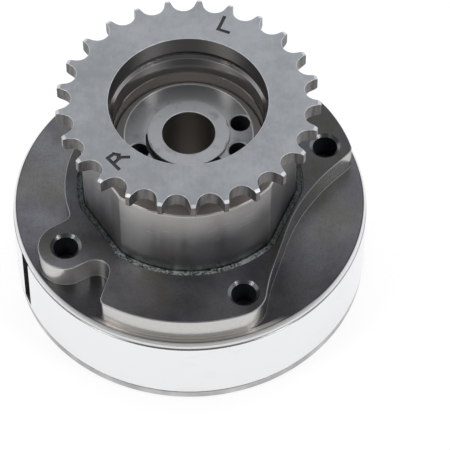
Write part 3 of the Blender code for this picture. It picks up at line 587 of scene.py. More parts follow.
class Shade(Tree):
    """One Principled material and the nodes that feed it."""

    def __init__(self, name: str) -> None:
        """Make an empty material with its Principled shader.

        Args:
            name: Name of the material.
        """
        self.material = bpy.data.materials.new(name)
        self.material.use_nodes = True
        super().__init__(self.material.node_tree)
        self.shader = self.tree.nodes["Principled BSDF"]
        self.place = self.out("ShaderNodeTexCoord", {}, "Object")
        parts = self.node("ShaderNodeSeparateXYZ", {"Vector": self.place}).outputs
        self.x, self.y, self.z = (Val(self, part) for part in parts)
        normal = self.out("ShaderNodeTexCoord", {}, "Normal")
        parts = self.node("ShaderNodeSeparateXYZ", {"Vector": normal}).outputs
        self.front = Val(self, parts[1])
        self.level = Val(self, parts[2]).op("ABSOLUTE")

    def radius(self) -> Val:
        """Give the distance from the phaser's axis."""
        return (self.x * self.x + self.y * self.y).op("SQRT")

    def facing_front(self) -> Val:
        """Give 1 on upright faces that look towards -Y, and 0 on those that look aside."""
        return (self.front * -1.0).rise(0.35, 0.9)

    def painted_edge_highlight(self) -> Val:
        """Give 1 on the narrow rounded edges between level faces and upright ones, where a
        highlight is painted.
        """
        return self.level.rise(0.22, 0.4) * self.level.fall(0.9, 0.975)

    def noise(self, scale: float, detail: float = 3.0, stretch: Sequence[float] = (1.0, 1.0, 1.0),
              roughness: float = 0.55, lean: float = 0.0) -> Val:
        """Add a noise on the object's own coordinates.

        Args:
            scale: Features per metre.
            detail: Number of octaves.
            stretch: Scale along each axis.
            roughness: Share that each finer octave keeps.
            lean: How far the stretched features lean, in radians.

        Returns:
            The noise, from 0 to 1 with most of it near the middle.
        """
        moved = self.out("ShaderNodeMapping", {
            "Vector": self.place, "Rotation": (0.0, lean, 0.0), "Scale": stretch})
        return self.out("ShaderNodeTexNoise", {
            "Vector": moved, "Scale": scale, "Detail": detail, "Roughness": roughness})

    def turning(self, scale: float) -> Val:
        """Add a noise that only changes with radius and height, as a lathe's marks do."""
        line = self.out("ShaderNodeCombineXYZ", {"X": self.radius(), "Z": self.z})
        return self.out("ShaderNodeTexNoise", {"Vector": line, "Scale": scale, "Detail": 3.0})

    def mix(self, share: "Val | float", first: "Colour | Val", second: "Colour | Val") -> Val:
        """Blend two colours.

        Args:
            share: How much of the second colour there is.
            first: The first colour.
            second: The second colour.

        Returns:
            The blend.
        """
        made = self.node("ShaderNodeMix", {}, data_type="RGBA")
        for number, value in ((0, share), (6, first), (7, second)):
            self.feed(made.inputs[number], value)
        return Val(self, made.outputs[2])

    def shades(self, share: Val, colour: Colour, first: float, second: float) -> Val:
        """Blend two shades of one colour."""
        return self.mix(share, shade_of(colour, first), shade_of(colour, second))

    def bump(self, height: Val, distance: float, strength: float) -> None:
        """Raise the surface by a height, on top of any bump that is there.

        Args:
            height: The height, from 0 to 1.
            distance: How far 1 stands out, in metres.
            strength: Share of the bump that shows.
        """
        inputs: dict[str | int, object] = {
            "Height": height, "Distance": distance, "Strength": strength}
        socket = self.shader.inputs["Normal"]
        if socket.is_linked:
            inputs["Normal"] = Val(self, socket.links[0].from_socket)
        self.feed(socket, self.out("ShaderNodeBump", inputs))

    def set(self, **inputs: object) -> bpy.types.Material:
        """Feed the shader's sockets, named with underscores for spaces, and give the material."""
        for key, value in inputs.items():
            label = key.replace("_", " ").title().replace("Ior", "IOR")
            self.feed(self.shader.inputs[label], value)
        return self.material


@dataclass(frozen=True)
class BlastedSteel:
    """Matt blue-grey steel of the sprocket, with darker chain seats and painted light, shade and
    edge highlights.
    """

    face: Colour = (0.362, 0.374, 0.391)
    wall: Colour = (0.125, 0.119, 0.116)
    bore: Colour = (0.34, 0.325, 0.31)
    edge: Colour = (0.80, 0.81, 0.82)
    roughness: float = 0.42
    bore_radius: float = 21.5 * MM
    bore_lit: float = 4.5 * MM
    bore_dark: float = 17.3 * MM

    def make(self) -> bpy.types.Material:
        """Build the material."""
        shade = Shade("blasted_steel")
        cloud = shade.noise(70.0, 5.0, roughness=0.65)
        grain = shade.noise(3200.0, 2.0)
        across = shade.noise(1300.0, 3.0, (1.0, 0.25, 1.0), 0.6)
        blot = shade.noise(420.0, 3.0, roughness=0.6)
        streaks = shade.noise(1100.0, 3.0, (1.0, 1.0, 0.12))
        upright = shade.level.fall(0.25, 0.75)
        painted_edge_highlight = shade.painted_edge_highlight()
        # Painted light: the face grows lighter towards the right and the back.
        painted_light_slope = (shade.x + shade.y * 1.2) * 1.1
        tone = 0.6 * cloud + 0.12 * across + 0.28 * blot + 0.16 * (grain - 0.5) + painted_light_slope
        colour = shade.mix(upright, shade.shades(tone.rise(0.32, 0.68), self.face, 0.84, 1.15),
                           shade.shades(streaks.rise(0.3, 0.7), self.wall, 0.75, 1.35))
        # Painted shade: the bore's wall darkens towards its sides.
        aside = (shade.x * shade.x).rise(self.bore_lit ** 2, self.bore_dark ** 2)
        inner = upright * shade.radius().fall(self.bore_radius, self.bore_radius + 0.5 * MM)
        colour = shade.mix(inner, colour, shade.shades(aside, self.bore, 1.0, 0.35))
        shade.bump(grain, 0.00002, 0.4)
        shade.bump(across, 0.000012, 0.3)
        rough = self.roughness + 0.14 * (cloud - 0.5) + 0.12 * (grain - 0.5) - 0.12 * upright
        # Painted highlight: rounded edges are painted pale and made less metallic.
        return shade.set(base_color=shade.mix(0.7 * painted_edge_highlight, colour, self.edge), roughness=rough,
                         metallic=0.95 - 0.3 * painted_edge_highlight)


@dataclass(frozen=True)
class CoverSteel:
    """Fine machined steel with marks that run round the axis."""

    colour: Colour = (0.52, 0.52, 0.52)
    roughness: float = 0.30

    def make(self) -> bpy.types.Material:
        """Build the material."""
        shade = Shade("cover_steel")
        marks = shade.turning(6000.0)
        cloud = shade.noise(110.0, 4.0)
        stain = shade.noise(420.0, 5.0).rise(0.52, 0.75)
        shade.bump(marks, 0.000012, 0.6)
        shade.bump(shade.noise(2600.0, 2.0), 0.00001, 0.2)
        rough = self.roughness + 0.14 * (marks - 0.5) + 0.10 * stain + 0.08 * (cloud - 0.5)
        return shade.set(base_color=shade.shades(cloud.rise(0.3, 0.7), self.colour, 0.76, 1.12),
                         roughness=rough, metallic=1.0)


@dataclass(frozen=True)
class NeckSteel:
    """Warm grey steel of the neck, milled on its sides, scratched near its top, with painted light
    and shade.
    """

    outer: Colour = (0.415, 0.408, 0.412)
    inner: Colour = (0.33, 0.315, 0.305)
    below: Colour = (0.44, 0.405, 0.375)
    painted_top_light: Colour = (0.64, 0.617, 0.58)
    ledge: Colour = (0.62, 0.55, 0.50)
    edge: Colour = (0.80, 0.80, 0.80)
    scratch: Colour = (0.80, 0.78, 0.74)
    flat: Colour = (0.06, 0.065, 0.07)
    reach: float = 28.1 * MM
    bore: float = 20.4 * MM
    shoulder: float = 54.7 * MM
    lip: float = 59.75 * MM
    painted_light_low: float = 42.0 * MM
    scratch_low: float = 40.0 * MM

    def make(self) -> bpy.types.Material:
        """Build the material."""
        shade = Shade("neck_steel")
        radius, height = shade.radius(), shade.z
        inside = radius.fall(self.bore, self.bore + 0.4 * MM)
        streaks = shade.noise(700.0, 3.0, (1.0, 1.0, 0.06))
        rings = shade.turning(5200.0)
        cloud = shade.noise(85.0, 4.0)
        scratch = shade.noise(1500.0, 1.0, (0.09, 0.4, 1.6), 0.5, 0.6).rise(0.68, 0.73)
        scratch = scratch * height.rise(self.scratch_low, self.scratch_low + 7.0 * MM)
        outer = shade.shades(cloud.rise(0.3, 0.7), self.outer, 0.86, 1.06)
        outer = shade.mix(0.5 * scratch, outer, self.scratch)
        # Painted shade: the flats are painted darker, most of all on the right.
        flats = radius.fall(self.reach - 0.22 * MM, self.reach - 0.06 * MM)
        right = shade.x.rise(-10.0 * MM, 10.0 * MM)
        outer = shade.mix(flats * (0.06 + 0.46 * right), outer, self.flat)
        # Painted shade: the round wall darkens towards the right.
        painted_shade_right = shade.x.rise(1.0 * MM, 14.0 * MM) * (1.0 - flats)
        outer = shade.mix(0.36 * painted_shade_right, outer, BLACK)
        # Painted light: the neck's upper part is painted paler and made less metallic.
        painted_top_light = height.rise(self.painted_light_low, self.painted_light_low + 12.0 * MM) * (1.0 - flats)
        outer = shade.mix(0.5 * painted_top_light * (1.0 - 0.5 * painted_shade_right), outer, self.painted_top_light)
        # Painted light: the shoulder ledge under the sprocket is painted pale and made less
        # metallic.
        ledge = height.within(self.shoulder, self.shoulder + 1.3 * MM, 0.2 * MM)
        ledge = ledge * shade.level.rise(0.5, 0.9)
        outer = shade.mix(ledge, outer, self.ledge)
        below = inside * height.fall(self.shoulder - 0.5 * MM, self.shoulder - 0.3 * MM)
        colour = shade.mix(below, shade.mix(inside, outer, self.inner), self.below)
        # Painted highlight: rounded edges and a thin line at the bore's lip are painted pale.
        painted_edge_highlight = shade.painted_edge_highlight() * (1.0 - inside)
        lip = inside * height.within(self.lip, self.lip + 0.25 * MM, 0.08 * MM)
        colour = shade.mix((0.6 * painted_edge_highlight).most(0.6 * lip), colour, self.edge)
        shade.bump(rings, 0.000012, 0.5)
        shade.bump(streaks, 0.00001, 0.25)
        rough = 0.40 + 0.16 * (streaks - 0.5) + 0.14 * (cloud - 0.5) - 0.26 * inside
        metal = 1.0 - 0.25 * painted_edge_highlight - 0.35 * ledge - 0.15 * painted_top_light * (1.0 - ledge) - 0.4 * below
        return shade.set(base_color=colour, roughness=rough, metallic=metal)


@dataclass(frozen=True)
class Braze:
    """Rough dark filler metal, with paler crumbs painted at its front as painted light."""

    deep: Colour = (0.020, 0.026, 0.025)
    high: Colour = (0.44, 0.48, 0.47)
    dull: Colour = (0.085, 0.105, 0.095)
    ledge_top: float = 33.6 * MM

    def make(self) -> bpy.types.Material:
        """Build the material."""
        shade = Shade("braze_metal")
        crumbs = shade.noise(1700.0, 4.0, roughness=0.65)
        patches = shade.noise(240.0, 3.0)
        share = (crumbs * 0.8 + patches * 0.4).rise(0.47, 0.72)
        # Painted light: crumbs are pale only at the front, low on the bead, and dull elsewhere.
        painted_front_light = shade.y.fall(-25.0 * MM, -17.0 * MM)
        low = shade.z.fall(self.ledge_top, self.ledge_top + 0.4 * MM)
        pale = shade.mix(painted_front_light * low, self.dull, self.high)
        shade.bump(crumbs, 0.00022, 0.9)
        return shade.set(base_color=shade.mix(share, self.deep, pale),
                         roughness=0.58 + 0.2 * (patches - 0.5), metallic=0.55)


@dataclass(frozen=True)
class PlateSteel:
    """Dark sintered steel: mottled on top, reflective walls, polished rim; painted shadow, light
    and reflections.
    """

    top: Colour = (0.143, 0.143, 0.150)
    olive: Colour = (0.150, 0.148, 0.133)
    violet: Colour = (0.130, 0.126, 0.150)
    painted_lit_wall: Colour = (0.68, 0.665, 0.64)
    painted_dark_wall: Colour = (0.20, 0.195, 0.19)
    edge: Colour = (0.55, 0.55, 0.55)
    foot: Colour = (0.85, 0.84, 0.82)
    painted_reflection_band: Colour = (0.50, 0.475, 0.445)
    rim: Colour = (0.93, 0.925, 0.915)
    groove: Colour = (0.03, 0.03, 0.03)
    pad_radius: float = 44.85 * MM
    groove_radius: float = 46.15 * MM
    rim_radius: float = 46.35 * MM
    foot_top: float = 25.45 * MM

    def make(self) -> bpy.types.Material:
        """Build the material."""
        shade = Shade("plate_steel")
        across, away, radius = shade.x, shade.y, shade.radius()
        cloud = shade.noise(60.0, 5.0, roughness=0.6)
        tint = shade.noise(38.0, 3.0)
        speck = shade.noise(1900.0, 3.0, roughness=0.6)
        wipe = shade.noise(160.0, 4.0, (1.0, 0.3, 1.0))
        upright = shade.level.fall(0.35, 0.8)
        top = shade.mix(tint.rise(0.4, 0.62), self.olive, self.violet)
        top = shade.mix(cloud.rise(0.35, 0.65), top, shade_of(self.top, 1.45))
        top = shade.mix(0.35 * speck.rise(0.45, 0.7), top, shade_of(self.top, 0.6))
        raised = shade.z.rise(31.0 * MM, 32.0 * MM)
        right = across.rise(8.0 * MM, 18.0 * MM)
        pad_shadow = 1.0 - 1.2 * away.fall(-32.0 * MM, -16.0 * MM) * (1.0 - right)
        low_shadow = (0.58 - 0.12 * right) * away.fall(-30.0 * MM, -6.0 * MM)
        top = shade.mix(raised * 0.5 * pad_shadow + (1.0 - raised) * low_shadow, top, BLACK)
        # Painted reflection: a pale strip before the pad's front wall, streaked with turning lines.
        painted_reflection_band = (1.0 - raised) * away.fall(-40.5 * MM, -37.5 * MM) * radius.rise(
            self.pad_radius, self.pad_radius + 0.1 * MM)
        lines = shade.turning(2600.0).rise(0.42, 0.55)
        top = shade.mix(painted_reflection_band * (0.55 + 0.45 * lines), top, self.painted_reflection_band)
        groove = radius.within(self.groove_radius, self.rim_radius, 0.06 * MM)
        top = shade.mix(0.75 * groove, top, self.groove)
        scoop_side = across.within(-27.0 * MM, -20.5 * MM, 1.0 * MM) * away.within(
            -34.0 * MM, -25.0 * MM, 2.5 * MM)
        diagonal = across.rise(20.5 * MM, 23.0 * MM) * away.within(
            -31.0 * MM, 8.0 * MM, 3.0 * MM)
        # Painted highlight: rounded edges are painted pale, except beside the scoop and on the
        # diagonal.
        painted_edge_highlight = shade.painted_edge_highlight() * (1.0 - (0.85 * scoop_side).most(0.8 * diagonal))
        # Painted highlight: a pale line at the foot of the pad's walls.
        foot = upright * shade.z.fall(self.foot_top, self.foot_top + 0.15 * MM)
        # Painted light and shade: walls facing the front are painted cream, as a painted
        # reflection, and side walls dark.
        painted_wall_light = shade.shades(0.5 * speck.rise(0.5, 0.75), self.painted_lit_wall, 1.0, 0.7)
        colour = shade.mix(upright, top, shade.mix(shade.facing_front(), self.painted_dark_wall, painted_wall_light))
        # The rim is polished, and its near-white colour with less metal is also a painted
        # reflection.
        rim = radius.rise(self.rim_radius, self.rim_radius + 0.25 * MM)
        for share, finish in ((0.45 * painted_edge_highlight, self.edge), (0.75 * foot, self.foot), (rim, self.rim)):
            colour = shade.mix(share, colour, finish)
        shade.bump(speck, 0.00003, 0.35)
        shade.bump(shade.noise(6000.0, 2.0), 0.000012, 0.3)
        rough = 0.36 + 0.22 * (cloud - 0.5) + 0.16 * (wipe - 0.5) + 0.1 * (speck - 0.5)
        rough = rough + upright * (0.20 + 0.12 * (speck - 0.5) - rough)
        rough = rough + rim * (0.14 - rough)
        # Less metal where light is painted: edges, foot line, rim, front walls and strip.
        dull = (0.2 * painted_edge_highlight).most(0.6 * foot).most(0.5 * rim)
        dull = dull.most(0.35 * upright * shade.facing_front()).most(0.4 * painted_reflection_band)
        return shade.set(base_color=colour, roughness=rough, metallic=0.95 - dull)


@dataclass(frozen=True)
class PolishedSteel:
    """Ground and polished steel of the stator's outside."""

    colour: Colour = (0.835, 0.845, 0.855)
    stain: Colour = (0.80, 0.785, 0.75)
    ends: Colour = (0.45, 0.45, 0.46)

    def make(self) -> bpy.types.Material:
        """Build the material."""
        shade = Shade("polished_steel")
        rings = shade.noise(1400.0, 3.0, (0.03, 0.03, 1.0))
        haze = shade.noise(45.0, 3.0)
        stain = shade.noise(70.0, 5.0, (1.0, 1.0, 2.0), 0.65).rise(0.56, 0.74)
        colour = shade.mix(0.55 * stain, self.colour, self.stain)
        colour = shade.mix(shade.level.fall(0.3, 0.8), self.ends, colour)
        shade.bump(rings, 0.000008, 0.3)
        rough = 0.15 + 0.10 * (haze - 0.5) + 0.05 * (rings - 0.5) + 0.05 * stain
        return shade.set(base_color=colour, roughness=rough, metallic=1.0)


@dataclass(frozen=True)
class RotorSteel:
    """Turned rotor face with clear circular tool marks and dark bores."""

    boss: Colour = (0.41, 0.415, 0.425)
    face: Colour = (0.275, 0.28, 0.286)
    bore: Colour = (0.32, 0.30, 0.28)
    edge: Colour = (0.75, 0.75, 0.75)
    stain: Colour = (0.10, 0.10, 0.10)
    groove: Colour = (0.02, 0.02, 0.022)
    bore_radius: float = 6.9 * MM
    groove_radius: float = 12.1 * MM
    groove_top: float = 52.0 * MM
    highlight_radius: float = 16.6 * MM

    def make(self) -> bpy.types.Material:
        """Build the material."""
        shade = Shade("rotor_steel")
        radius = shade.radius()
        rings = shade.turning(3000.0)
        cloud = shade.noise(120.0, 4.0)
        stain = shade.noise(260.0, 4.0).rise(0.5, 0.75)
        colour = shade.mix(radius.rise(10.0 * MM, 13.0 * MM), self.boss, self.face)
        colour = shade.mix(0.35 * stain, colour, self.stain)
        inside = radius.fall(self.bore_radius, self.bore_radius + 0.1 * MM)
        inside = inside * shade.level.fall(0.3, 0.6)
        colour = shade.mix(inside, colour, self.bore)
        painted_edge_highlight = shade.painted_edge_highlight() * (1.0 - inside)
        # Painted shade: the floor of the oil groove is painted near-black.
        deep = shade.z.fall(self.groove_top, self.groove_top + 0.8 * MM) * radius.fall(
            self.groove_radius, self.groove_radius + 0.2 * MM) * (1.0 - inside)
        colour = shade.mix(0.9 * deep, colour, self.groove)
        # Painted highlight: a thin line at the face's outer edge and the rounded edges are painted
        # pale.
        line = radius.within(self.highlight_radius, self.highlight_radius + 0.25 * MM, 0.12 * MM)
        colour = shade.mix((0.4 * painted_edge_highlight).most(0.75 * line), colour, self.edge)
        shade.bump(rings, 0.00002, 0.45)
        shade.bump(shade.turning(12000.0), 0.000006, 0.4)
        rough = 0.43 + 0.12 * (cloud - 0.5) + 0.10 * (rings - 0.5) + 0.08 * stain
        return shade.set(base_color=colour, roughness=rough,
                         metallic=0.97 - (0.6 * painted_edge_highlight).most(0.4 * line))


@dataclass(frozen=True)
class PlainMetal:
    """A small part's finish: one metal with a fine grain and a little wear."""

    name: str
    colour: Colour
    roughness: float
    metallic: float = 1.0
    grain: float = 3000.0

    def make(self) -> bpy.types.Material:
        """Build the material."""
        shade = Shade(self.name)
        grain = shade.noise(self.grain, 3.0)
        cloud = shade.noise(300.0, 3.0)
        shade.bump(grain, 0.00001, 0.4)
        return shade.set(base_color=shade.shades(cloud.rise(0.3, 0.7), self.colour, 0.85, 1.12),
                         roughness=self.roughness + 0.12 * (cloud - 0.5) + 0.08 * (grain - 0.5),
                         metallic=self.metallic)


class Finishes:
    """Every material of the phaser, each made once."""

    def __init__(self) -> None:
        """Make the materials."""
        self.sprocket = BlastedSteel().make()
        self.neck = NeckSteel().make()
        self.braze = Braze().make()
        self.plate = PlateSteel().make()
        self.ring = PolishedSteel().make()
        self.rotor = RotorSteel().make()
        self.cover = CoverSteel().make()
        self.engraved = PlainMetal("engraved_steel", (0.06, 0.06, 0.063), 0.6, 0.7).make()
        self.thread = PlainMetal("hole_wall", (0.11, 0.118, 0.135), 0.38, 0.8).make()
        self.countersink = PlainMetal("countersink", (0.20, 0.205, 0.215), 0.24, 0.95).make()
        self.notch = PlainMetal("notch_steel", (0.16, 0.16, 0.165), 0.35, 0.9).make()
        self.screw = PlainMetal("black_oxide", (0.028, 0.028, 0.031), 0.42, 0.75).make()
        self.hard = PlainMetal("ground_steel", (0.56, 0.56, 0.55), 0.24).make()
        self.seal = PlainMetal("seal_polymer", (0.035, 0.031, 0.028), 0.58, 0.0, 5000.0).make()
        self.spring = PlainMetal("spring_wire", (0.42, 0.42, 0.44), 0.27).make()


def darken_holes(thing: Solid, centres: Sequence[Flat], radius: float,
                 finish: bpy.types.Material) -> None:
    """Give the walls of upright holes a finish of their own.

    Args:
        thing: The piece with the holes.
        centres: The holes' axes.
        radius: Radius within which a face counts as the hole's wall.
        finish: The walls' material.
    """
    thing.data.materials.append(finish)
    last = len(thing.data.materials) - 1
    for face in thing.data.polygons:
        spot = face.center
        if abs(face.normal.z) < FINE.level and any(
                math.hypot(spot.x - x, spot.y - y) < radius for x, y in centres):
            face.material_index = last


def dress(thing: Solid, finish: bpy.types.Material) -> Solid:
    """Give a solid one material for all its faces.

    Args:
        thing: The solid.
        finish: The material.

    Returns:
        The solid.
    """
    thing.data.materials.clear()
    thing.data.materials.append(finish)
    for face in thing.data.polygons:
        face.material_index = 0
    return thing


def place(thing: Solid, name: str, body: Body,
          nodes: Sequence[str]) -> Solid:
    """Name a finished piece, and say what it rides on and stands for.

    Args:
        thing: The piece, at the origin.
        name: Its name.
        body: The body that it moves with.
        nodes: The solids that it replaces.

    Returns:
        The piece.
    """
    thing.name = name
    thing.data.name = name
    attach(thing, body.value)
    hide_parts(*nodes)
    LOG.info("%s: %d faces, rides on %s", name, len(thing.data.polygons), body.value)
    return thing


class NodeGroup(Tree):
    """A Geometry Nodes tree with named inputs, used once and turned into a mesh."""

    def __init__(self, name: str, sizes: "dict[str, float | int | Solid]") -> None:
        """Start a tree.

        Args:
            name: Name of the tree.
            sizes: Each input's name and its value, which may be an object.
        """
        super().__init__(bpy.data.node_groups.new(name, "GeometryNodeTree"))
        self.tree.is_modifier = True
        self.sizes = sizes
        kinds = {label: {int: "Int", float: "Float"}.get(type(value), "Object")
                 for label, value in sizes.items()}
        self.keys = {label: self.tree.interface.new_socket(
            label, in_out="INPUT", socket_type=f"NodeSocket{kind}").identifier
            for label, kind in {"Geometry": "Geometry", **kinds, "Finish": "Material"}.items()}
        self.tree.interface.new_socket("Geometry", in_out="OUTPUT",
                                       socket_type="NodeSocketGeometry")
        self.source = self.node("NodeGroupInput", {})

    def size(self, label: str) -> Val:
        """Give the value of one named input."""
        return Val(self, self.source.outputs[label])

    def up(self, z: "Val | float" = 0.0) -> Val:
        """Give a vector that points straight up."""
        return self.out("ShaderNodeCombineXYZ", {"Z": z})

    def moved_up(self, geometry: Val, height: Val) -> Val:
        """Raise a geometry."""
        return self.out("GeometryNodeTransform", {
            "Geometry": geometry, "Translation": self.up(height)})

    def finish(self, geometry: Val) -> None:
        """End the tree in Realize Instances and Set Material.

        Args:
            geometry: What the tree has made.
        """
        real = self.out("GeometryNodeRealizeInstances", {"Geometry": geometry})
        dressed = self.out("GeometryNodeSetMaterial", {
            "Geometry": real, "Material": self.size("Finish")})
        self.node("NodeGroupOutput", {0: dressed})

    def apply(self, thing: Solid, finish: bpy.types.Material) -> Solid:
        """Run the tree on an object and keep the result as its mesh.

        Args:
            thing: The object.
            finish: The material that the tree sets.

        Returns:
            The object.
        """
        modifier = thing.modifiers.new(self.tree.name, "NODES")
        modifier.node_group = self.tree
        for label, value in {**self.sizes, "Finish": finish}.items():
            modifier[self.keys[label]] = value
        return Form.settled(thing)


@dataclass
class Assembly:
    """A sub-assembly, which takes its materials from the shared set."""

    finishes: Finishes


@dataclass
class Sprocket(Assembly):
    """The toothed ring and the two bank marks on its face."""

    teeth: int = 25
    tip: float = 34.0 * MM
    root: float = 30.0 * MM
    seat: float = 3.15 * MM
    seat_edge: float = 0.2 * MM
    flank: float = 23.5
    chamfer: float = 0.45 * MM
    bore: float = 20.5 * MM
    edge: float = 0.25 * MM
    back_chamfer: float = 0.9 * MM
    first_tooth: float = 85.4
    mark_width: float = 0.9 * MM
    mark_depth: float = 0.22 * MM

    def blank(self) -> Solid:
        """Turn the ring with its hub, its tip chamfers and its eased bore."""
        top, low, hub = STACK.sprocket_top, STACK.sprocket_low, STACK.hub_low
        edge, back = self.edge, self.back_chamfer
        small = 0.12 * MM
        corners = [
            (self.bore, top, edge),
            (self.tip - 2 * self.chamfer, top, small),
            (self.tip, top - self.chamfer, small),
            (self.tip, low + self.chamfer, small),
            (self.tip - 2 * self.chamfer, low, small),
            (STACK.collar_radius, low, small),
            (STACK.collar_radius, hub, edge),
            (self.bore + back, hub, small),
            (self.bore, hub + back, small),
        ]
        return Form.turned(rounded(corners, steps=3), 250)

    def seat_outline(self) -> list[Flat]:
        """Draw one chain seat in plan: a round root, and flanks that spread to the tips."""
        middle = self.root + self.seat
        reach = self.tip + STACK.gap - middle
        root = arc(self.seat, 90.0 + self.flank, 270.0 - self.flank, step=6.0)
        first_x, first_y = root[0]
        spread = first_y + (reach - first_x) * math.tan(math.radians(self.flank))
        return [(middle + x, y) for x, y in [(reach, spread), *root, (reach, -spread)]]

    def cut_teeth(self, ring: Solid, finish: bpy.types.Material) -> Solid:
        """Cut the chain seats round the ring.

        Args:
            ring: The turned blank.
            finish: The ring's material.

        Returns:
            The ring with its teeth.
        """
        tool = Form.cutter(self.seat_outline(), STACK.sprocket_low,
                           STACK.sprocket_top, self.seat_edge)
        group = NodeGroup("chain_seats", {
            "Teeth": self.teeth, "Seat": tool,
            "First Seat": math.radians(self.first_tooth + 180.0 / self.teeth),
        })
        points = group.out("GeometryNodeMeshLine", {
            "Count": group.size("Teeth"), "Offset": group.up()})
        pitch = 2 * math.pi / group.size("Teeth")
        turn = group.out("GeometryNodeInputIndex", {}) * pitch + group.size("First Seat")
        seats = group.out("GeometryNodeInstanceOnPoints", {
            "Points": points, "Rotation": group.up(turn), "Instance": group.out(
                "GeometryNodeObjectInfo", {"Object": group.size("Seat")}, "Geometry")})
        real = group.out("GeometryNodeRealizeInstances", {"Geometry": seats})
        group.finish(group.out("GeometryNodeMeshBoolean", {0: group.size("Geometry"), 1: real},
                               operation="DIFFERENCE", solver="EXACT"))
        group.apply(ring, finish)
        bpy.data.objects.remove(tool)
        return ring

    def strokes(self) -> "list[tuple[Flat, Flat]]":
        """List the straight strokes of the two letters, in millimetres on the face."""
        left = [((9.2, 27.7), (7.7, 23.8)), ((7.6, 23.7), (10.2, 22.6))]
        right = [
            ((-20.1, -18.5), (-17.3, -21.9)), ((-20.1, -18.5), (-18.6, -17.2)),
            ((-18.6, -17.2), (-17.3, -17.5)), ((-17.3, -17.5), (-17.2, -18.6)),
            ((-17.2, -18.6), (-18.6, -20.2)), ((-17.4, -18.3), (-14.9, -18.2)),
        ]
        return left + right

    def engrave(self, ring: Solid, finish: bpy.types.Material) -> Solid:
        """Cut the letters into the face and darken their floors.

        Args:
            ring: The toothed ring.
            finish: The material of the strokes.

        Returns:
            The engraved ring.
        """
        ring.data.materials.append(finish)
        tools: list[Solid] = []
        for start, end in self.strokes():
            first, last = Vector(start) * MM, Vector(end) * MM
            run = last - first
            middle = (first + last) / 2
            size = (run.length + self.mark_width, self.mark_width, 2 * self.mark_depth)
            centre = (middle.x, middle.y, STACK.sprocket_top)
            tools.append(Form.block(size, centre,
                                    math.degrees(math.atan2(run.y, run.x))))
        word = tools[0]
        for tool in tools[1:]:
            Form.change(word, tool, how=Cut.TOGETHER)
        word.data.materials.clear()
        word.data.materials.append(ring.data.materials[0])
        word.data.materials.append(finish)
        for face in word.data.polygons:
            face.material_index = 1
        return Form.change(ring, word)

    def build(self) -> None:
        """Make, dress and place the sprocket."""
        ring = self.cut_teeth(self.blank(), self.finishes.sprocket)
        ring = Form.finished(self.engrave(ring, self.finishes.engraved))
        place(ring, "sprocket", Body.HOUSING, ["drive_sprocket"])


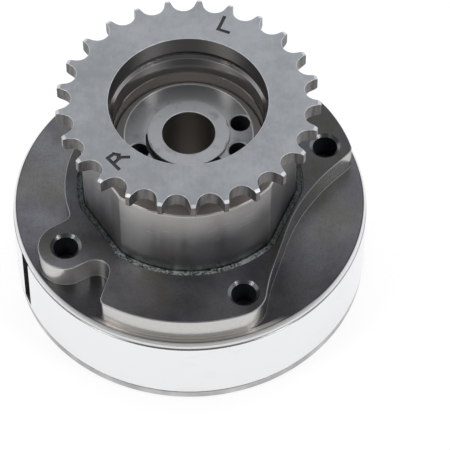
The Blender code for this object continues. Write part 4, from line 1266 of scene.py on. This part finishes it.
@dataclass
class Neck(Assembly):
    """The hollow neck between the rear plate and the sprocket, and the braze at its foot."""

    radius: float = 28.1 * MM
    turn: float = 5.0
    front_half_angle: float = 43.5
    side_half_angle: float = 9.3
    fillet: float = 0.8 * MM
    ease: float = 0.6 * MM
    bore: float = 19.6 * MM
    mouth: float = 19.8 * MM
    mouth_depth: float = 6.2 * MM
    mouth_chamfer: float = 0.7 * MM
    edge: float = 0.25 * MM
    bead_low: float = 31.7 * MM
    bead_corners: tuple[Corner, ...] = (
        (0.1, 0.0, 0.1), (1.75, 0.0, 0.1), (1.75, 1.26, 0.3), (0.525, 1.98, 0.25),
        (0.35, 2.7, 0.1), (0.1, 2.7, 0.05))
    crumb_height: float = 0.56 * MM
    crumb_middle: float = 0.62

    def outline(self) -> list[Flat]:
        """Draw the neck in plan: a circle with four flats between wide and narrow arcs."""
        corners: list[Corner] = []
        for quarter in range(4):
            middle = self.turn + 90.0 * quarter
            half = self.front_half_angle if quarter % 2 else self.side_half_angle
            points = arc(self.radius, middle - half, middle + half)
            corners.append((*points[0], self.fillet))
            corners += plain(points[1:-1])
            corners.append((*points[-1], self.fillet))
        return rounded(corners)

    def build(self) -> None:
        """Make, dress and place the neck and its braze."""
        neck = Form.raised(self.outline(), STACK.neck_low, STACK.shoulder, self.ease)
        top = STACK.neck_top
        collar = rounded([
            (0.0, top, 0.0),
            (STACK.collar_radius, top, self.edge),
            (STACK.collar_radius, STACK.shoulder - STACK.past, 0.0),
            (0.0, STACK.shoulder - STACK.past, 0.0),
        ], closed=False, steps=FINE.ease)
        Form.change(neck, Form.turned(collar), how=Cut.TOGETHER)
        past = STACK.past
        bore = [
            (0.0, top + past),
            (self.mouth + self.mouth_chamfer + past, top + past),
            (self.mouth, top - self.mouth_chamfer),
            (self.mouth, top - self.mouth_depth),
            (self.bore, top - self.mouth_depth - self.mouth + self.bore),
            (self.bore, STACK.neck_low - past),
            (0.0, STACK.neck_low - past),
        ]
        Form.change(neck, Form.turned(bore))
        dress(Form.finished(neck), self.finishes.neck)
        place(neck, "neck", Body.HOUSING, ["sprocket_neck"])
        self.build_bead()

    def build_bead(self) -> None:
        """Run a rough bead of braze round the neck's foot."""
        line = Form.loop([(x, y, self.bead_low) for x, y in self.outline()])
        shape = rounded(self.bead_corners, steps=3)
        section = Form.loop([(x * MM, y * MM, 0.0) for x, y in shape])
        group = NodeGroup("braze_bead", {
            "Steps": 900, "Section": section, "Section Steps": 30,
            "Crumb Height": self.crumb_height, "Crumb Middle": self.crumb_middle,
            "Crumb Scale": 1100.0,
        })
        drawn = group.out("GeometryNodeObjectInfo", {"Object": group.size("Section")}, "Geometry")
        path, profile = (group.out("GeometryNodeResampleCurve", {
            "Curve": group.out("GeometryNodeMeshToCurve", {"Mesh": mesh}),
            "Count": group.size(steps)}) for mesh, steps in (
                (group.size("Geometry"), "Steps"), (drawn, "Section Steps")))
        level = group.out("GeometryNodeSetCurveNormal", {"Curve": path}, mode="Z_UP")
        bead = group.out("GeometryNodeCurveToMesh", {"Curve": level, "Profile Curve": profile})
        noise = group.out("ShaderNodeTexNoise", {
            "Vector": group.out("GeometryNodeInputPosition", {}),
            "Scale": group.size("Crumb Scale"), "Detail": 3.0})
        push = group.out("ShaderNodeVectorMath", {
            0: group.out("GeometryNodeInputNormal", {}),
            "Scale": (noise - group.size("Crumb Middle")) * group.size("Crumb Height")},
            operation="SCALE")
        rough = group.out("GeometryNodeSetPosition", {"Geometry": bead, "Offset": push})
        group.finish(group.out("GeometryNodeSetShadeSmooth", {"Geometry": rough}))
        group.apply(line, self.finishes.braze)
        bpy.data.objects.remove(section)
        place(line, "braze_bead", Body.HOUSING, ["neck_braze"])


@dataclass
class RearPlate(Assembly):
    """The rear plate with its spigot and the raised pad that carries the neck."""

    radius: float = 47.0 * MM
    edge: float = 0.7 * MM
    spigot: float = 43.0 * MM
    bore: float = 19.6 * MM
    front_radius: float = 44.9 * MM
    ring_radius: float = 33.1 * MM
    lobe_radius: float = 7.3 * MM
    front_start: float = -121.0
    front_end: float = -64.1
    right_start: float = 14.2
    right_end: float = 41.0
    scoop: Flat = (-18.2 * MM, -20.6 * MM)
    scoop_fillet: float = 3.7 * MM
    scoop_lobe_end: float = 80.0
    right_corners: tuple[Flat, ...] = (
        (20.9 * MM, -31.0 * MM), (27.9 * MM, -8.2 * MM), (35.6 * MM, 2.8 * MM))
    tip_fillet: float = 2.2 * MM
    end_fillet: float = 8.0 * MM
    line_fillet: float = 48.0 * MM
    neck_fillet: float = 2.5 * MM
    pad_edge: float = 0.35 * MM
    hole: float = 3.25 * MM
    sink: float = 3.95 * MM
    groove_depth: float = 0.9 * MM
    bead_width: float = 1.6 * MM
    groove_edge: float = 0.2 * MM

    def lobe(self, degrees: float, end: float = 90.0) -> list[Corner]:
        """Draw the round end of the pad's lobe at one screw hole."""
        centre = polar(STACK.screw_circle, degrees)
        return plain(arc(self.lobe_radius, degrees - 90.0, degrees + end, centre, 5.0))

    def ring_arc(self, start: float, end: float) -> list[Corner]:
        """Draw part of the pad's ring between two lobes."""
        return plain(arc(self.ring_radius, start, end))

    def outline(self) -> list[Flat]:
        """Draw the pad in plan: a ring, four lobes, a scoop and a long diagonal edge."""
        spread = math.degrees(math.asin(self.lobe_radius / self.ring_radius))
        back, left = SCREW_ANGLES[1], SCREW_ANGLES[2]
        room, ring_room, corner_room, start_room = 6.5, 8.0, 4.5, 12.0
        wide = 2 * self.neck_fillet
        corners: list[Corner] = [(*polar(self.front_radius, self.front_start), self.tip_fillet)]
        corners += plain(arc(self.front_radius, self.front_start + room, self.front_end - room))
        corners.append((*polar(self.front_radius, self.front_end), self.end_fillet))
        corners += [(*corner, self.line_fillet) for corner in self.right_corners]
        corners.append((*polar(self.front_radius, self.right_start), self.neck_fillet))
        corners += plain(arc(self.front_radius, self.right_start + corner_room,
                             self.right_end - room))
        corners.append((*polar(self.front_radius, self.right_end), wide))
        ring_start = self.right_end + ring_room
        corners.append((*polar(self.ring_radius, ring_start), wide))
        corners += self.ring_arc(ring_start + start_room, back - spread - ring_room)
        for degrees, end in ((back, 90.0), (left, self.scoop_lobe_end)):
            corners.append((*polar(self.ring_radius, degrees - spread), self.neck_fillet))
            corners += self.lobe(degrees, end)
            if degrees == back:
                corners.append((*polar(self.ring_radius, back + spread), self.neck_fillet))
                corners += self.ring_arc(back + spread + ring_room, left - spread - ring_room)
        corners.append((*self.scoop, self.scoop_fillet))
        return rounded(corners)

    def screw_hole(self, centre: Flat) -> Solid:
        """Make the cutter for one tapped hole with its countersink.

        Args:
            centre: The hole's axis.

        Returns:
            The cutter.
        """
        top, past, ease = STACK.pad_top, STACK.past, 0.18 * MM
        sink = self.sink - self.hole
        profile = rounded([
            (0.0, top + past, 0.0),
            (self.sink + 4 * ease + past, top + past, 0.0),
            (self.sink + ease, top, ease),
            (self.hole, top - sink, ease),
            (self.hole, STACK.spigot_low - past, 0.0),
            (0.0, STACK.spigot_low - past, 0.0),
        ], closed=False, steps=3)
        return Form.turned(profile, FINE.hole, centre)

    def build(self) -> None:
        """Make, dress and place the rear plate, whose socket follows the neck's outline."""
        corners = [
            (self.bore, STACK.plate_top, 0.0),
            (self.radius - self.edge, STACK.plate_top, 0.2 * MM),
            (self.radius, STACK.plate_top - self.edge, 0.2 * MM),
            (self.radius, STACK.plate_low, 0.12 * MM),
            (self.spigot, STACK.plate_low, 0.0),
            (self.spigot, STACK.spigot_low, 0.2 * MM),
            (self.bore, STACK.spigot_low, 0.0),
        ]
        plate = Form.turned(rounded(corners, steps=4))
        pad = Form.raised(self.outline(), STACK.plate_low + self.edge, STACK.pad_top,
                          self.pad_edge)
        Form.change(plate, pad, how=Cut.TOGETHER)
        gap, past = STACK.gap, STACK.past
        foot = Neck(self.finishes).outline()
        socket = Form.raised(offset(foot, gap), STACK.neck_low - gap,
                             STACK.pad_top + past)
        Form.change(plate, socket)
        Form.change(plate, Form.stacked(offset(foot, self.bead_width + gap), [
            (0.0, STACK.pad_top - self.groove_depth),
            *((out, STACK.pad_top - drop) for out, drop in eased(self.groove_edge)),
            (self.groove_edge, STACK.pad_top + past)]))
        Form.change(plate, Form.disc(self.bore, STACK.spigot_low - past,
                                     STACK.pad_top, steps=FINE.ring))
        Form.change(plate, *(self.screw_hole(spot) for spot in SCREW_PLACES))
        Form.change(plate, dowel_hole(STACK.spigot_low - past, STACK.dowel_high))
        dress(Form.finished(plate), self.finishes.plate)
        darken_holes(plate, SCREW_PLACES, self.sink + 0.4 * MM, self.finishes.countersink)
        darken_holes(plate, SCREW_PLACES, self.hole + 0.1 * MM, self.finishes.thread)
        place(plate, "rear_plate_dressed", Body.HOUSING, ["rear_plate"])


def dowel_hole(low: float, high: float) -> Solid:
    """Make the cutter for the locating dowel's hole between two heights."""
    return Form.disc(STACK.dowel_radius, low, high, DOWEL_PLACE, 24)


@dataclass
class Chambers:
    """The chambers between the stator's webs, and the vanes that swing in them."""

    radius: float = 42.0 * MM
    web_tip: float = 24.0 * MM
    web_half_angle: float = 10.0
    fillet: float = 1.6 * MM
    travel: float = 25.0
    end_gap: float = 0.6
    vane_half_angle: float = 10.0
    wide_web: int = 2

    def spans(self) -> list[Flat]:
        """Give each chamber's start and end angle."""
        found: list[Flat] = []
        for index, degrees in enumerate(SCREW_ANGLES):
            after = SCREW_ANGLES[(index + 1) % len(SCREW_ANGLES)]
            after += 360.0 if after < degrees else 0.0
            found.append((degrees + self.web_half_angle, after - self.web_half_angle))
        return found

    def vanes(self) -> list[Flat]:
        """Give each vane's centre and half angle at rest."""
        found: list[Flat] = []
        for index, (start, end) in enumerate(self.spans()):
            if index == self.wide_web:
                half = (end - start - self.travel) / 2 - self.end_gap
                found.append((start + self.end_gap + half, half))
            else:
                found.append(((start + end - self.travel) / 2, self.vane_half_angle))
        return found

    def cavity(self) -> list[Flat]:
        """Draw the stator's inside in plan."""
        corners: list[Corner] = []
        room, web_room = 4.5, 2.0
        for start, end in self.spans():
            corners.append((*polar(self.web_tip, start), 0.0))
            corners.append((*polar(self.radius, start), self.fillet))
            corners += plain(arc(self.radius, start + room, end - room))
            corners.append((*polar(self.radius, end), self.fillet))
            corners.append((*polar(self.web_tip, end), 0.0))
            web_end = end + 2 * self.web_half_angle
            corners += plain(arc(self.web_tip, end + web_room, web_end - web_room))
        return rounded(corners)

    def vane(self, centre: float, half: float, hub: float) -> list[Flat]:
        """Draw one vane in plan.

        Args:
            centre: Angle of its middle.
            half: Its half angle.
            hub: Radius of the hub that it grows from.

        Returns:
            The outline, from inside the hub to the tip.
        """
        tip = self.radius - STACK.gap
        room = 4.5
        corners: list[Corner] = [(*polar(tip, centre - half), self.fillet)]
        corners += plain(arc(tip, centre - half + room, centre + half - room))
        corners.append((*polar(tip, centre + half), self.fillet))
        corners += plain(arc(hub - 2 * STACK.gap, centre + half, centre - half))
        return rounded(corners)


CHAMBERS = Chambers()


@dataclass
class Stator(Assembly):
    """The polished ring with its four webs and the notch in its outside."""

    radius: float = 47.2 * MM
    edge: float = 0.35 * MM
    recess: float = 43.3 * MM
    notch_angle: float = -157.0
    notch_width: float = 4.2 * MM
    notch_depth: float = 2.6 * MM
    notch_floor: float = 4.5 * MM

    def build(self) -> None:
        """Make, dress and place the stator."""
        low, top, past = STACK.stator_low, STACK.stator_top, STACK.past
        profile = rounded([
            (0.0, top, 0.0),
            (self.radius, top, self.edge),
            (self.radius, low, self.edge),
            (0.0, low, 0.0),
        ], closed=False, steps=FINE.ease)
        ring = Form.turned(profile, 240)
        Form.change(ring, Form.raised(CHAMBERS.cavity(), low - past, top + past))
        Form.change(ring, Form.disc(self.recess, STACK.spigot_low - STACK.gap,
                                    top + past, steps=FINE.ring))
        hole = STACK.screw_radius + STACK.gap
        Form.change(ring, *(Form.disc(hole, low - past, top + past, spot)
                            for spot in SCREW_PLACES))
        Form.change(ring, dowel_hole(STACK.dowel_low, top))
        height = top + past - self.notch_floor
        reach = self.radius - (self.notch_depth - past) / 2
        size = (self.notch_depth + past, self.notch_width, height)
        centre = (*polar(reach, self.notch_angle), self.notch_floor + height / 2)
        Form.change(ring, Form.block(size, centre, self.notch_angle))
        dress(Form.finished(ring), self.finishes.ring)
        self.shade_inside(ring)
        place(ring, "stator_ring", Body.HOUSING, ["stator"])

    def shade_inside(self, ring: Solid) -> None:
        """Give every inner face the plain machined finish, and the notch a darker one.

        Args:
            ring: The stator's ring.
        """
        inner, notch = 1, 2
        ring.data.materials.append(self.finishes.cover)
        ring.data.materials.append(self.finishes.notch)
        outer_reach = self.radius - 1.2 * self.edge
        notch_reach = self.radius - 1.1 * self.notch_depth
        for face in ring.data.polygons:
            reach = face.center.xy.length
            upright = abs(face.normal.z) < 0.5
            if reach < outer_reach:
                face.material_index = notch if upright and reach > notch_reach else inner


@dataclass
class FrontCover(Assembly):
    """The cover that the phaser stands on, its countersunk screws and the lock bush's seat."""

    radius: float = 47.0 * MM
    bore: float = 16.0 * MM
    edge: float = 0.8 * MM
    head: float = 5.5 * MM
    inset: float = 0.2 * MM
    length: float = 25.0 * MM
    socket: float = 2.1 * MM
    socket_depth: float = 1.6 * MM
    bush_seat: float = 4.7 * MM

    def build(self) -> None:
        """Make, dress and place the cover and its screws."""
        top, past, gap = STACK.cover_top, STACK.past, STACK.gap
        corners = [
            (self.bore, top, 0.0),
            (self.radius, top, 0.2 * MM),
            (self.radius, self.edge, 0.2 * MM),
            (self.radius - self.edge, 0.0, 0.2 * MM),
            (self.bore, 0.0, 0.25 * MM),
        ]
        cover = Form.turned(rounded(corners, steps=3))
        mouth, shank = self.head + gap, STACK.screw_radius + gap
        cone = [
            (0.0, self.inset + mouth - shank + past),
            (shank - past, self.inset + mouth - shank + past),
            (mouth + past, self.inset - past),
            (0.0, self.inset - past),
        ]
        Form.change(cover, *(Form.turned(cone, FINE.hole, spot)
                             for spot in SCREW_PLACES))
        Form.change(cover, *(Form.disc(shank, -past, top + past, spot)
                             for spot in SCREW_PLACES))
        Form.change(cover, Form.disc(self.bush_seat, -past, top + past, LOCK_PLACE))
        dress(Form.finished(cover), self.finishes.cover)
        place(cover, "cover_disc", Body.HOUSING, ["front_cover"])
        self.build_screws()

    def build_screws(self) -> None:
        """Make the countersunk screws, one on each point of the screw circle."""
        mesh = bpy.data.meshes.new("screw_points")
        mesh.from_pydata([(x, y, 0.0) for x, y in SCREW_PLACES], [], [])
        points = Form.from_mesh(mesh)
        group = NodeGroup("countersunk_screws", {
            "Head Radius": self.head, "Shank Radius": STACK.screw_radius, "Low": self.inset,
            "Length": self.length, "Socket Radius": self.socket,
            "Socket Depth": self.socket_depth, "Tip Chamfer": 0.5 * MM,
        })
        head, shank, low, length, chamfer = (group.size(label) for label in (
            "Head Radius", "Shank Radius", "Low", "Length", "Tip Chamfer"))
        rise = head - shank
        body = length - rise - chamfer
        union = group.node("GeometryNodeMeshBoolean", {}, operation="UNION", solver="EXACT")
        for bottom, top, depth, height in (
                (head, shank, rise, low), (shank, shank, body, low + rise),
                (shank, shank - chamfer, chamfer, low + rise + body)):
            cone = group.out("GeometryNodeMeshCone", {
                "Vertices": 64, "Radius Top": top, "Radius Bottom": bottom, "Depth": depth},
                fill_type="NGON")
            group.feed(union.inputs[1], group.moved_up(cone, height))
        key = group.out("GeometryNodeMeshCylinder", {
            "Vertices": 6, "Radius": group.size("Socket Radius"),
            "Depth": group.size("Socket Depth") * 2.0}, fill_type="NGON")
        screw = group.out("GeometryNodeMeshBoolean", {
            0: Val(group, union.outputs[0]), 1: group.moved_up(key, low)},
            operation="DIFFERENCE", solver="EXACT")
        group.finish(group.out("GeometryNodeInstanceOnPoints", {
            "Points": group.size("Geometry"), "Instance": screw}))
        screws = Form.finished(group.apply(points, self.finishes.screw))
        place(screws, "cover_screws", Body.HOUSING,
              [f"cover_screw_{number}" for number in (1, 2, 3, 4)])


@dataclass
class Rotor(Assembly):
    """The vane rotor, whose journal fills the neck and whose face takes the camshaft."""

    hub: float = 23.7 * MM
    bore: float = 6.85 * MM
    bore_edge: float = 0.35 * MM
    face: float = 53.0 * MM
    face_radius: float = 16.8 * MM
    journal: float = 19.3 * MM
    boss_radius: float = 10.7 * MM
    boss_top: float = 53.8 * MM
    groove_width: float = 1.3 * MM
    groove_depth: float = 1.2 * MM
    groove_start: float = -181.0
    groove_end: float = -43.0
    groove_tip: float = 0.25
    groove_taper: float = 0.3
    low: float = 3.3 * MM
    spigot: float = 15.7 * MM
    spigot_low: float = 0.6 * MM
    head_radius: float = 12.8 * MM
    head_seat: float = 4.0 * MM
    port_angles: tuple[float, ...] = (16.4, -21.2, -157.5)
    port_circle: float = 13.9 * MM
    port: float = 2.6 * MM
    port_edge: float = 0.3 * MM
    port_depth: float = 14.0 * MM
    seal_width: float = 2.5 * MM
    slot_depth: float = 4.5 * MM
    oil_hole: float = 1.3 * MM
    oil_angle: float = 13.5
    oil_room: float = 4.0
    oil_low: float = 0.4
    oil_high: float = 0.2
    lock_bore: float = 4.3 * MM

    def profile(self) -> list[Flat]:
        """Draw the rotor's turned section."""
        small = 0.15 * MM
        chamfer = self.journal - self.face_radius
        corners = [
            (self.bore, self.boss_top, self.bore_edge),
            (self.boss_radius, self.boss_top, small),
            (self.boss_radius, self.face, 0.0),
            (self.face_radius, self.face, small),
            (self.journal, self.face - chamfer, small),
            (self.journal, STACK.vane_top, 0.0),
            (self.hub, STACK.vane_top, 0.0),
            (self.hub, self.low, 0.0),
            (self.spigot, self.low, 0.0),
            (self.spigot, self.spigot_low, 0.2 * MM),
            (self.head_radius, self.spigot_low, 0.2 * MM),
            (self.head_radius, self.head_seat, 0.0),
            (self.bore, self.head_seat, 0.2 * MM),
        ]
        return rounded(corners, steps=4)

    def slots(self) -> list[Solid]:
        """Make the cutters for the seal slots across the vanes' tips.

        Returns:
            One box for each vane.
        """
        past = STACK.past
        tip = CHAMBERS.radius - STACK.gap
        height = STACK.vane_top - self.low + 2 * past
        tools: list[Solid] = []
        for centre, _ in CHAMBERS.vanes():
            spot = (*polar(tip - (self.slot_depth - past) / 2, centre),
                    (STACK.vane_top + self.low) / 2)
            size = (self.slot_depth + past, self.seal_width, height)
            tools.append(Form.block(size, spot, centre))
        return tools

    def oil_holes(self) -> list[Solid]:
        """Make the cutters for the radial oil holes beside each vane.

        Returns:
            Two cylinders for each vane.
        """
        height = STACK.vane_top - self.low
        reach = self.hub - self.bore + 2 * STACK.past
        middle = (self.hub + self.bore) / 2
        tools: list[Solid] = []
        for centre, half in CHAMBERS.vanes():
            swing = max(self.oil_angle, half + self.oil_room)
            sides = ((-swing, self.low + self.oil_low * height),
                     (swing, STACK.vane_top - self.oil_high * height))
            for side, level in sides:
                hole = Form.disc(self.oil_hole, -reach / 2, reach / 2, steps=24)
                spot = Vector((*polar(middle, centre + side), level))
                turn = Matrix.Rotation(math.radians(centre + side), 4, "Z")
                lean = Matrix.Rotation(math.radians(90.0), 4, "Y")
                hole.data.transform(Matrix.Translation(spot) @ turn @ lean)
                tools.append(hole)
        return tools

    def port_cutter(self, centre: Flat) -> Solid:
        """Make the cutter for one oil port in the face.

        Args:
            centre: The port's axis.

        Returns:
            The cutter.
        """
        past, edge = STACK.past, self.port_edge
        profile = [
            (0.0, self.face + past),
            (self.port + edge + past, self.face + past),
            (self.port, self.face - edge),
            (self.port, self.face - self.port_depth),
            (0.0, self.face - self.port_depth),
        ]
        return Form.turned(profile, FINE.hole, centre)

    def build(self) -> None:
        """Make, dress and place the rotor."""
        rotor = Form.turned(self.profile())
        blades = (Form.raised(CHAMBERS.vane(centre, half, self.hub), self.low,
                              STACK.vane_top) for centre, half in CHAMBERS.vanes())
        ports = [polar(self.port_circle, degrees) for degrees in self.port_angles]
        Form.change(rotor, *blades, how=Cut.TOGETHER)
        Form.change(rotor, *self.slots())
        Form.change(rotor, *self.oil_holes())
        Form.change(rotor, *(self.port_cutter(spot) for spot in ports))
        inner = arc(self.boss_radius, self.groove_start, self.groove_end)
        last = len(inner) - 1
        band = [tuple(Vector(point) * (1.0 + self.groove_width / self.boss_radius * min(
            1.0, self.groove_tip + (1.0 - self.groove_tip) * index / (self.groove_taper * last))))
            for index, point in enumerate(inner)] + inner[::-1]
        Form.change(rotor, Form.raised(band, self.face - self.groove_depth,
                                       (self.face + self.boss_top) / 2))
        past = STACK.past
        Form.change(rotor, Form.disc(self.lock_bore, self.low - past,
                                     STACK.vane_top + past, LOCK_PLACE))
        dress(Form.finished(rotor), self.finishes.rotor)
        darken_holes(rotor, ports, self.port + 0.1 * MM, self.finishes.thread)
        place(rotor, "rotor_turned", Body.ROTOR, ["rotor"])


@dataclass
class SmallParts(Assembly):
    """The inner pieces that are shown as their solids, each with its own finish."""

    spring_low: float = 7.85 * MM
    spring_top: float = 17.4 * MM
    pin_travel: float = 3.5 * MM

    def build(self) -> None:
        """Dress the solids where they are, and give the lock spring a mesh of its own."""
        finish_of: dict[str, bpy.types.Material] = {
            "locating_dowel": self.finishes.hard,
            "lock_bush": self.finishes.cover,
            "lock_pin": self.finishes.hard,
            "lock_plug": self.finishes.hard,
            "lock_spring": self.finishes.spring,
        }
        for number in (1, 2, 3, 4):
            finish_of[f"vane_seal_{number}"] = self.finishes.seal
            finish_of[f"seal_spring_{number}"] = self.finishes.spring
        for name, finish in finish_of.items():
            dress(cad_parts[name], finish)
            LOG.info("%s: dressed", name)
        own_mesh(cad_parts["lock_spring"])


@dataclass
class Studio:
    """A pale floor, soft light and the camera."""

    camera_place: Corner = (9.39 * MM, -467.0 * MM, 651.9 * MM)
    target: Corner = (9.39 * MM, 0.0, 13.3 * MM)
    lens: float = 234.5
    floor_size: float = 6.0
    floor_tone: Colour = (0.80, 0.80, 0.80)
    seen_tone: Colour = (0.22, 0.22, 0.22)
    seen_glow: Colour = (0.84, 0.84, 0.84)
    sky: Colour = (0.95, 0.97, 1.0)
    sky_front: float = 0.16
    sky_back: float = 0.92
    sky_fade: Flat = (-0.55, 0.25)
    lamp_size: Flat = (0.16, 0.40)
    lamp_side: float = 0.45
    lamp_front: float = -0.28
    lamp_height: float = 0.73

    @staticmethod
    def hang(data: "bpy.types.Camera | bpy.types.Light", spot: Sequence[float],
             target: Sequence[float]) -> Solid:
        """Put a camera or a lamp at its place and aim it.

        Args:
            data: The camera or the lamp.
            spot: Its place.
            target: The point that it looks at.

        Returns:
            Its object.
        """
        made = bpy.data.objects.new(data.name, data)
        bpy.context.scene.collection.objects.link(made)
        made.location = spot
        aim = Vector(target) - Vector(spot)
        made.rotation_euler = aim.to_track_quat("-Z", "Y").to_euler()
        return made

    def camera(self) -> None:
        """Set up the camera."""
        data = bpy.data.cameras.new("camera")
        data.lens = self.lens
        data.sensor_width = 36.0
        data.clip_start = 0.01
        data.clip_end = 50.0
        bpy.context.scene.camera = self.hang(data, self.camera_place, self.target)

    def lamp(self, name: str, side: float, power: float, colour: Colour) -> None:
        """Hang a soft rectangular lamp that faces the phaser.

        Args:
            name: Name of the lamp.
            side: 1 on the right and -1 on the left.
            power: Its power in watts.
            colour: Its colour.
        """
        data = bpy.data.lights.new(name, "AREA")
        data.shape = "RECTANGLE"
        data.size, data.size_y = self.lamp_size
        data.energy = power
        data.color = colour
        self.hang(data, (side * self.lamp_side, self.lamp_front, self.lamp_height),
                  (0.0, 0.0, 30.0 * MM))

    def floor(self) -> None:
        """Lay the pale floor, white to the camera and in reflections."""
        half = self.floor_size / 2
        corners = [(-half, -half, 0.0), (half, -half, 0.0), (half, half, 0.0), (-half, half, 0.0)]
        mesh = bpy.data.meshes.new("floor")
        mesh.from_pydata(corners, [], [(0, 1, 2, 3)])
        made = Form.from_mesh(mesh)
        shade = Shade("pale_floor")
        camera, glossy, through = (shade.out("ShaderNodeLightPath", {}, f"Is {kind} Ray")
                                   for kind in ("Camera", "Glossy", "Transmission"))
        seen = camera.most(glossy).most(through)
        made.data.materials.append(shade.set(
            base_color=shade.mix(seen, self.floor_tone, self.seen_tone), roughness=1.0,
            specular_ior_level=0.0, emission_strength=1.0,
            emission_color=shade.mix(seen, BLACK, self.seen_glow)))

    def world(self) -> None:
        """Light the scene softly from all round, with a white backdrop."""
        world = bpy.data.worlds.new("studio")
        bpy.context.scene.world = world
        world.use_nodes = True
        world.node_tree.nodes.clear()
        sky = Tree(world.node_tree)
        direction = sky.out("ShaderNodeTexCoord", {}, "Generated")
        away = sky.out("ShaderNodeSeparateXYZ", {"Vector": direction}, "Y")
        strength = sky.out("ShaderNodeMapRange", {
            "Value": away, "From Min": self.sky_fade[0], "From Max": self.sky_fade[1],
            "To Min": self.sky_front, "To Max": self.sky_back}, interpolation_type="SMOOTHSTEP")
        soft = sky.out("ShaderNodeBackground", {"Color": self.sky, "Strength": strength})
        white = sky.out("ShaderNodeBackground", {"Strength": 1.0})
        camera = sky.out("ShaderNodeLightPath", {}, "Is Camera Ray")
        sky.node("ShaderNodeOutputWorld", {
            "Surface": sky.out("ShaderNodeMixShader", {0: camera, 1: soft, 2: white})})

    def build(self) -> None:
        """Set up the whole studio."""
        bpy.context.scene.view_settings.view_transform = "Standard"
        self.world()
        self.floor()
        self.lamp("left_front", -1.0, 1.5, (1.0, 0.98, 0.95))
        self.lamp("right_front", 1.0, 1.4, (1.0, 1.0, 1.0))
        self.camera()


def main() -> None:
    """Build every piece in order, and then the studio."""
    logging.basicConfig(level=logging.INFO, format="%(message)s")
    finishes = Finishes()
    for assembly in (Sprocket, Neck, RearPlate, Stator, FrontCover, Rotor, SmallParts):
        LOG.info("building %s", assembly.__name__)
        assembly(finishes).build()
    Studio().build()


if __name__ == "__main__":
    main()
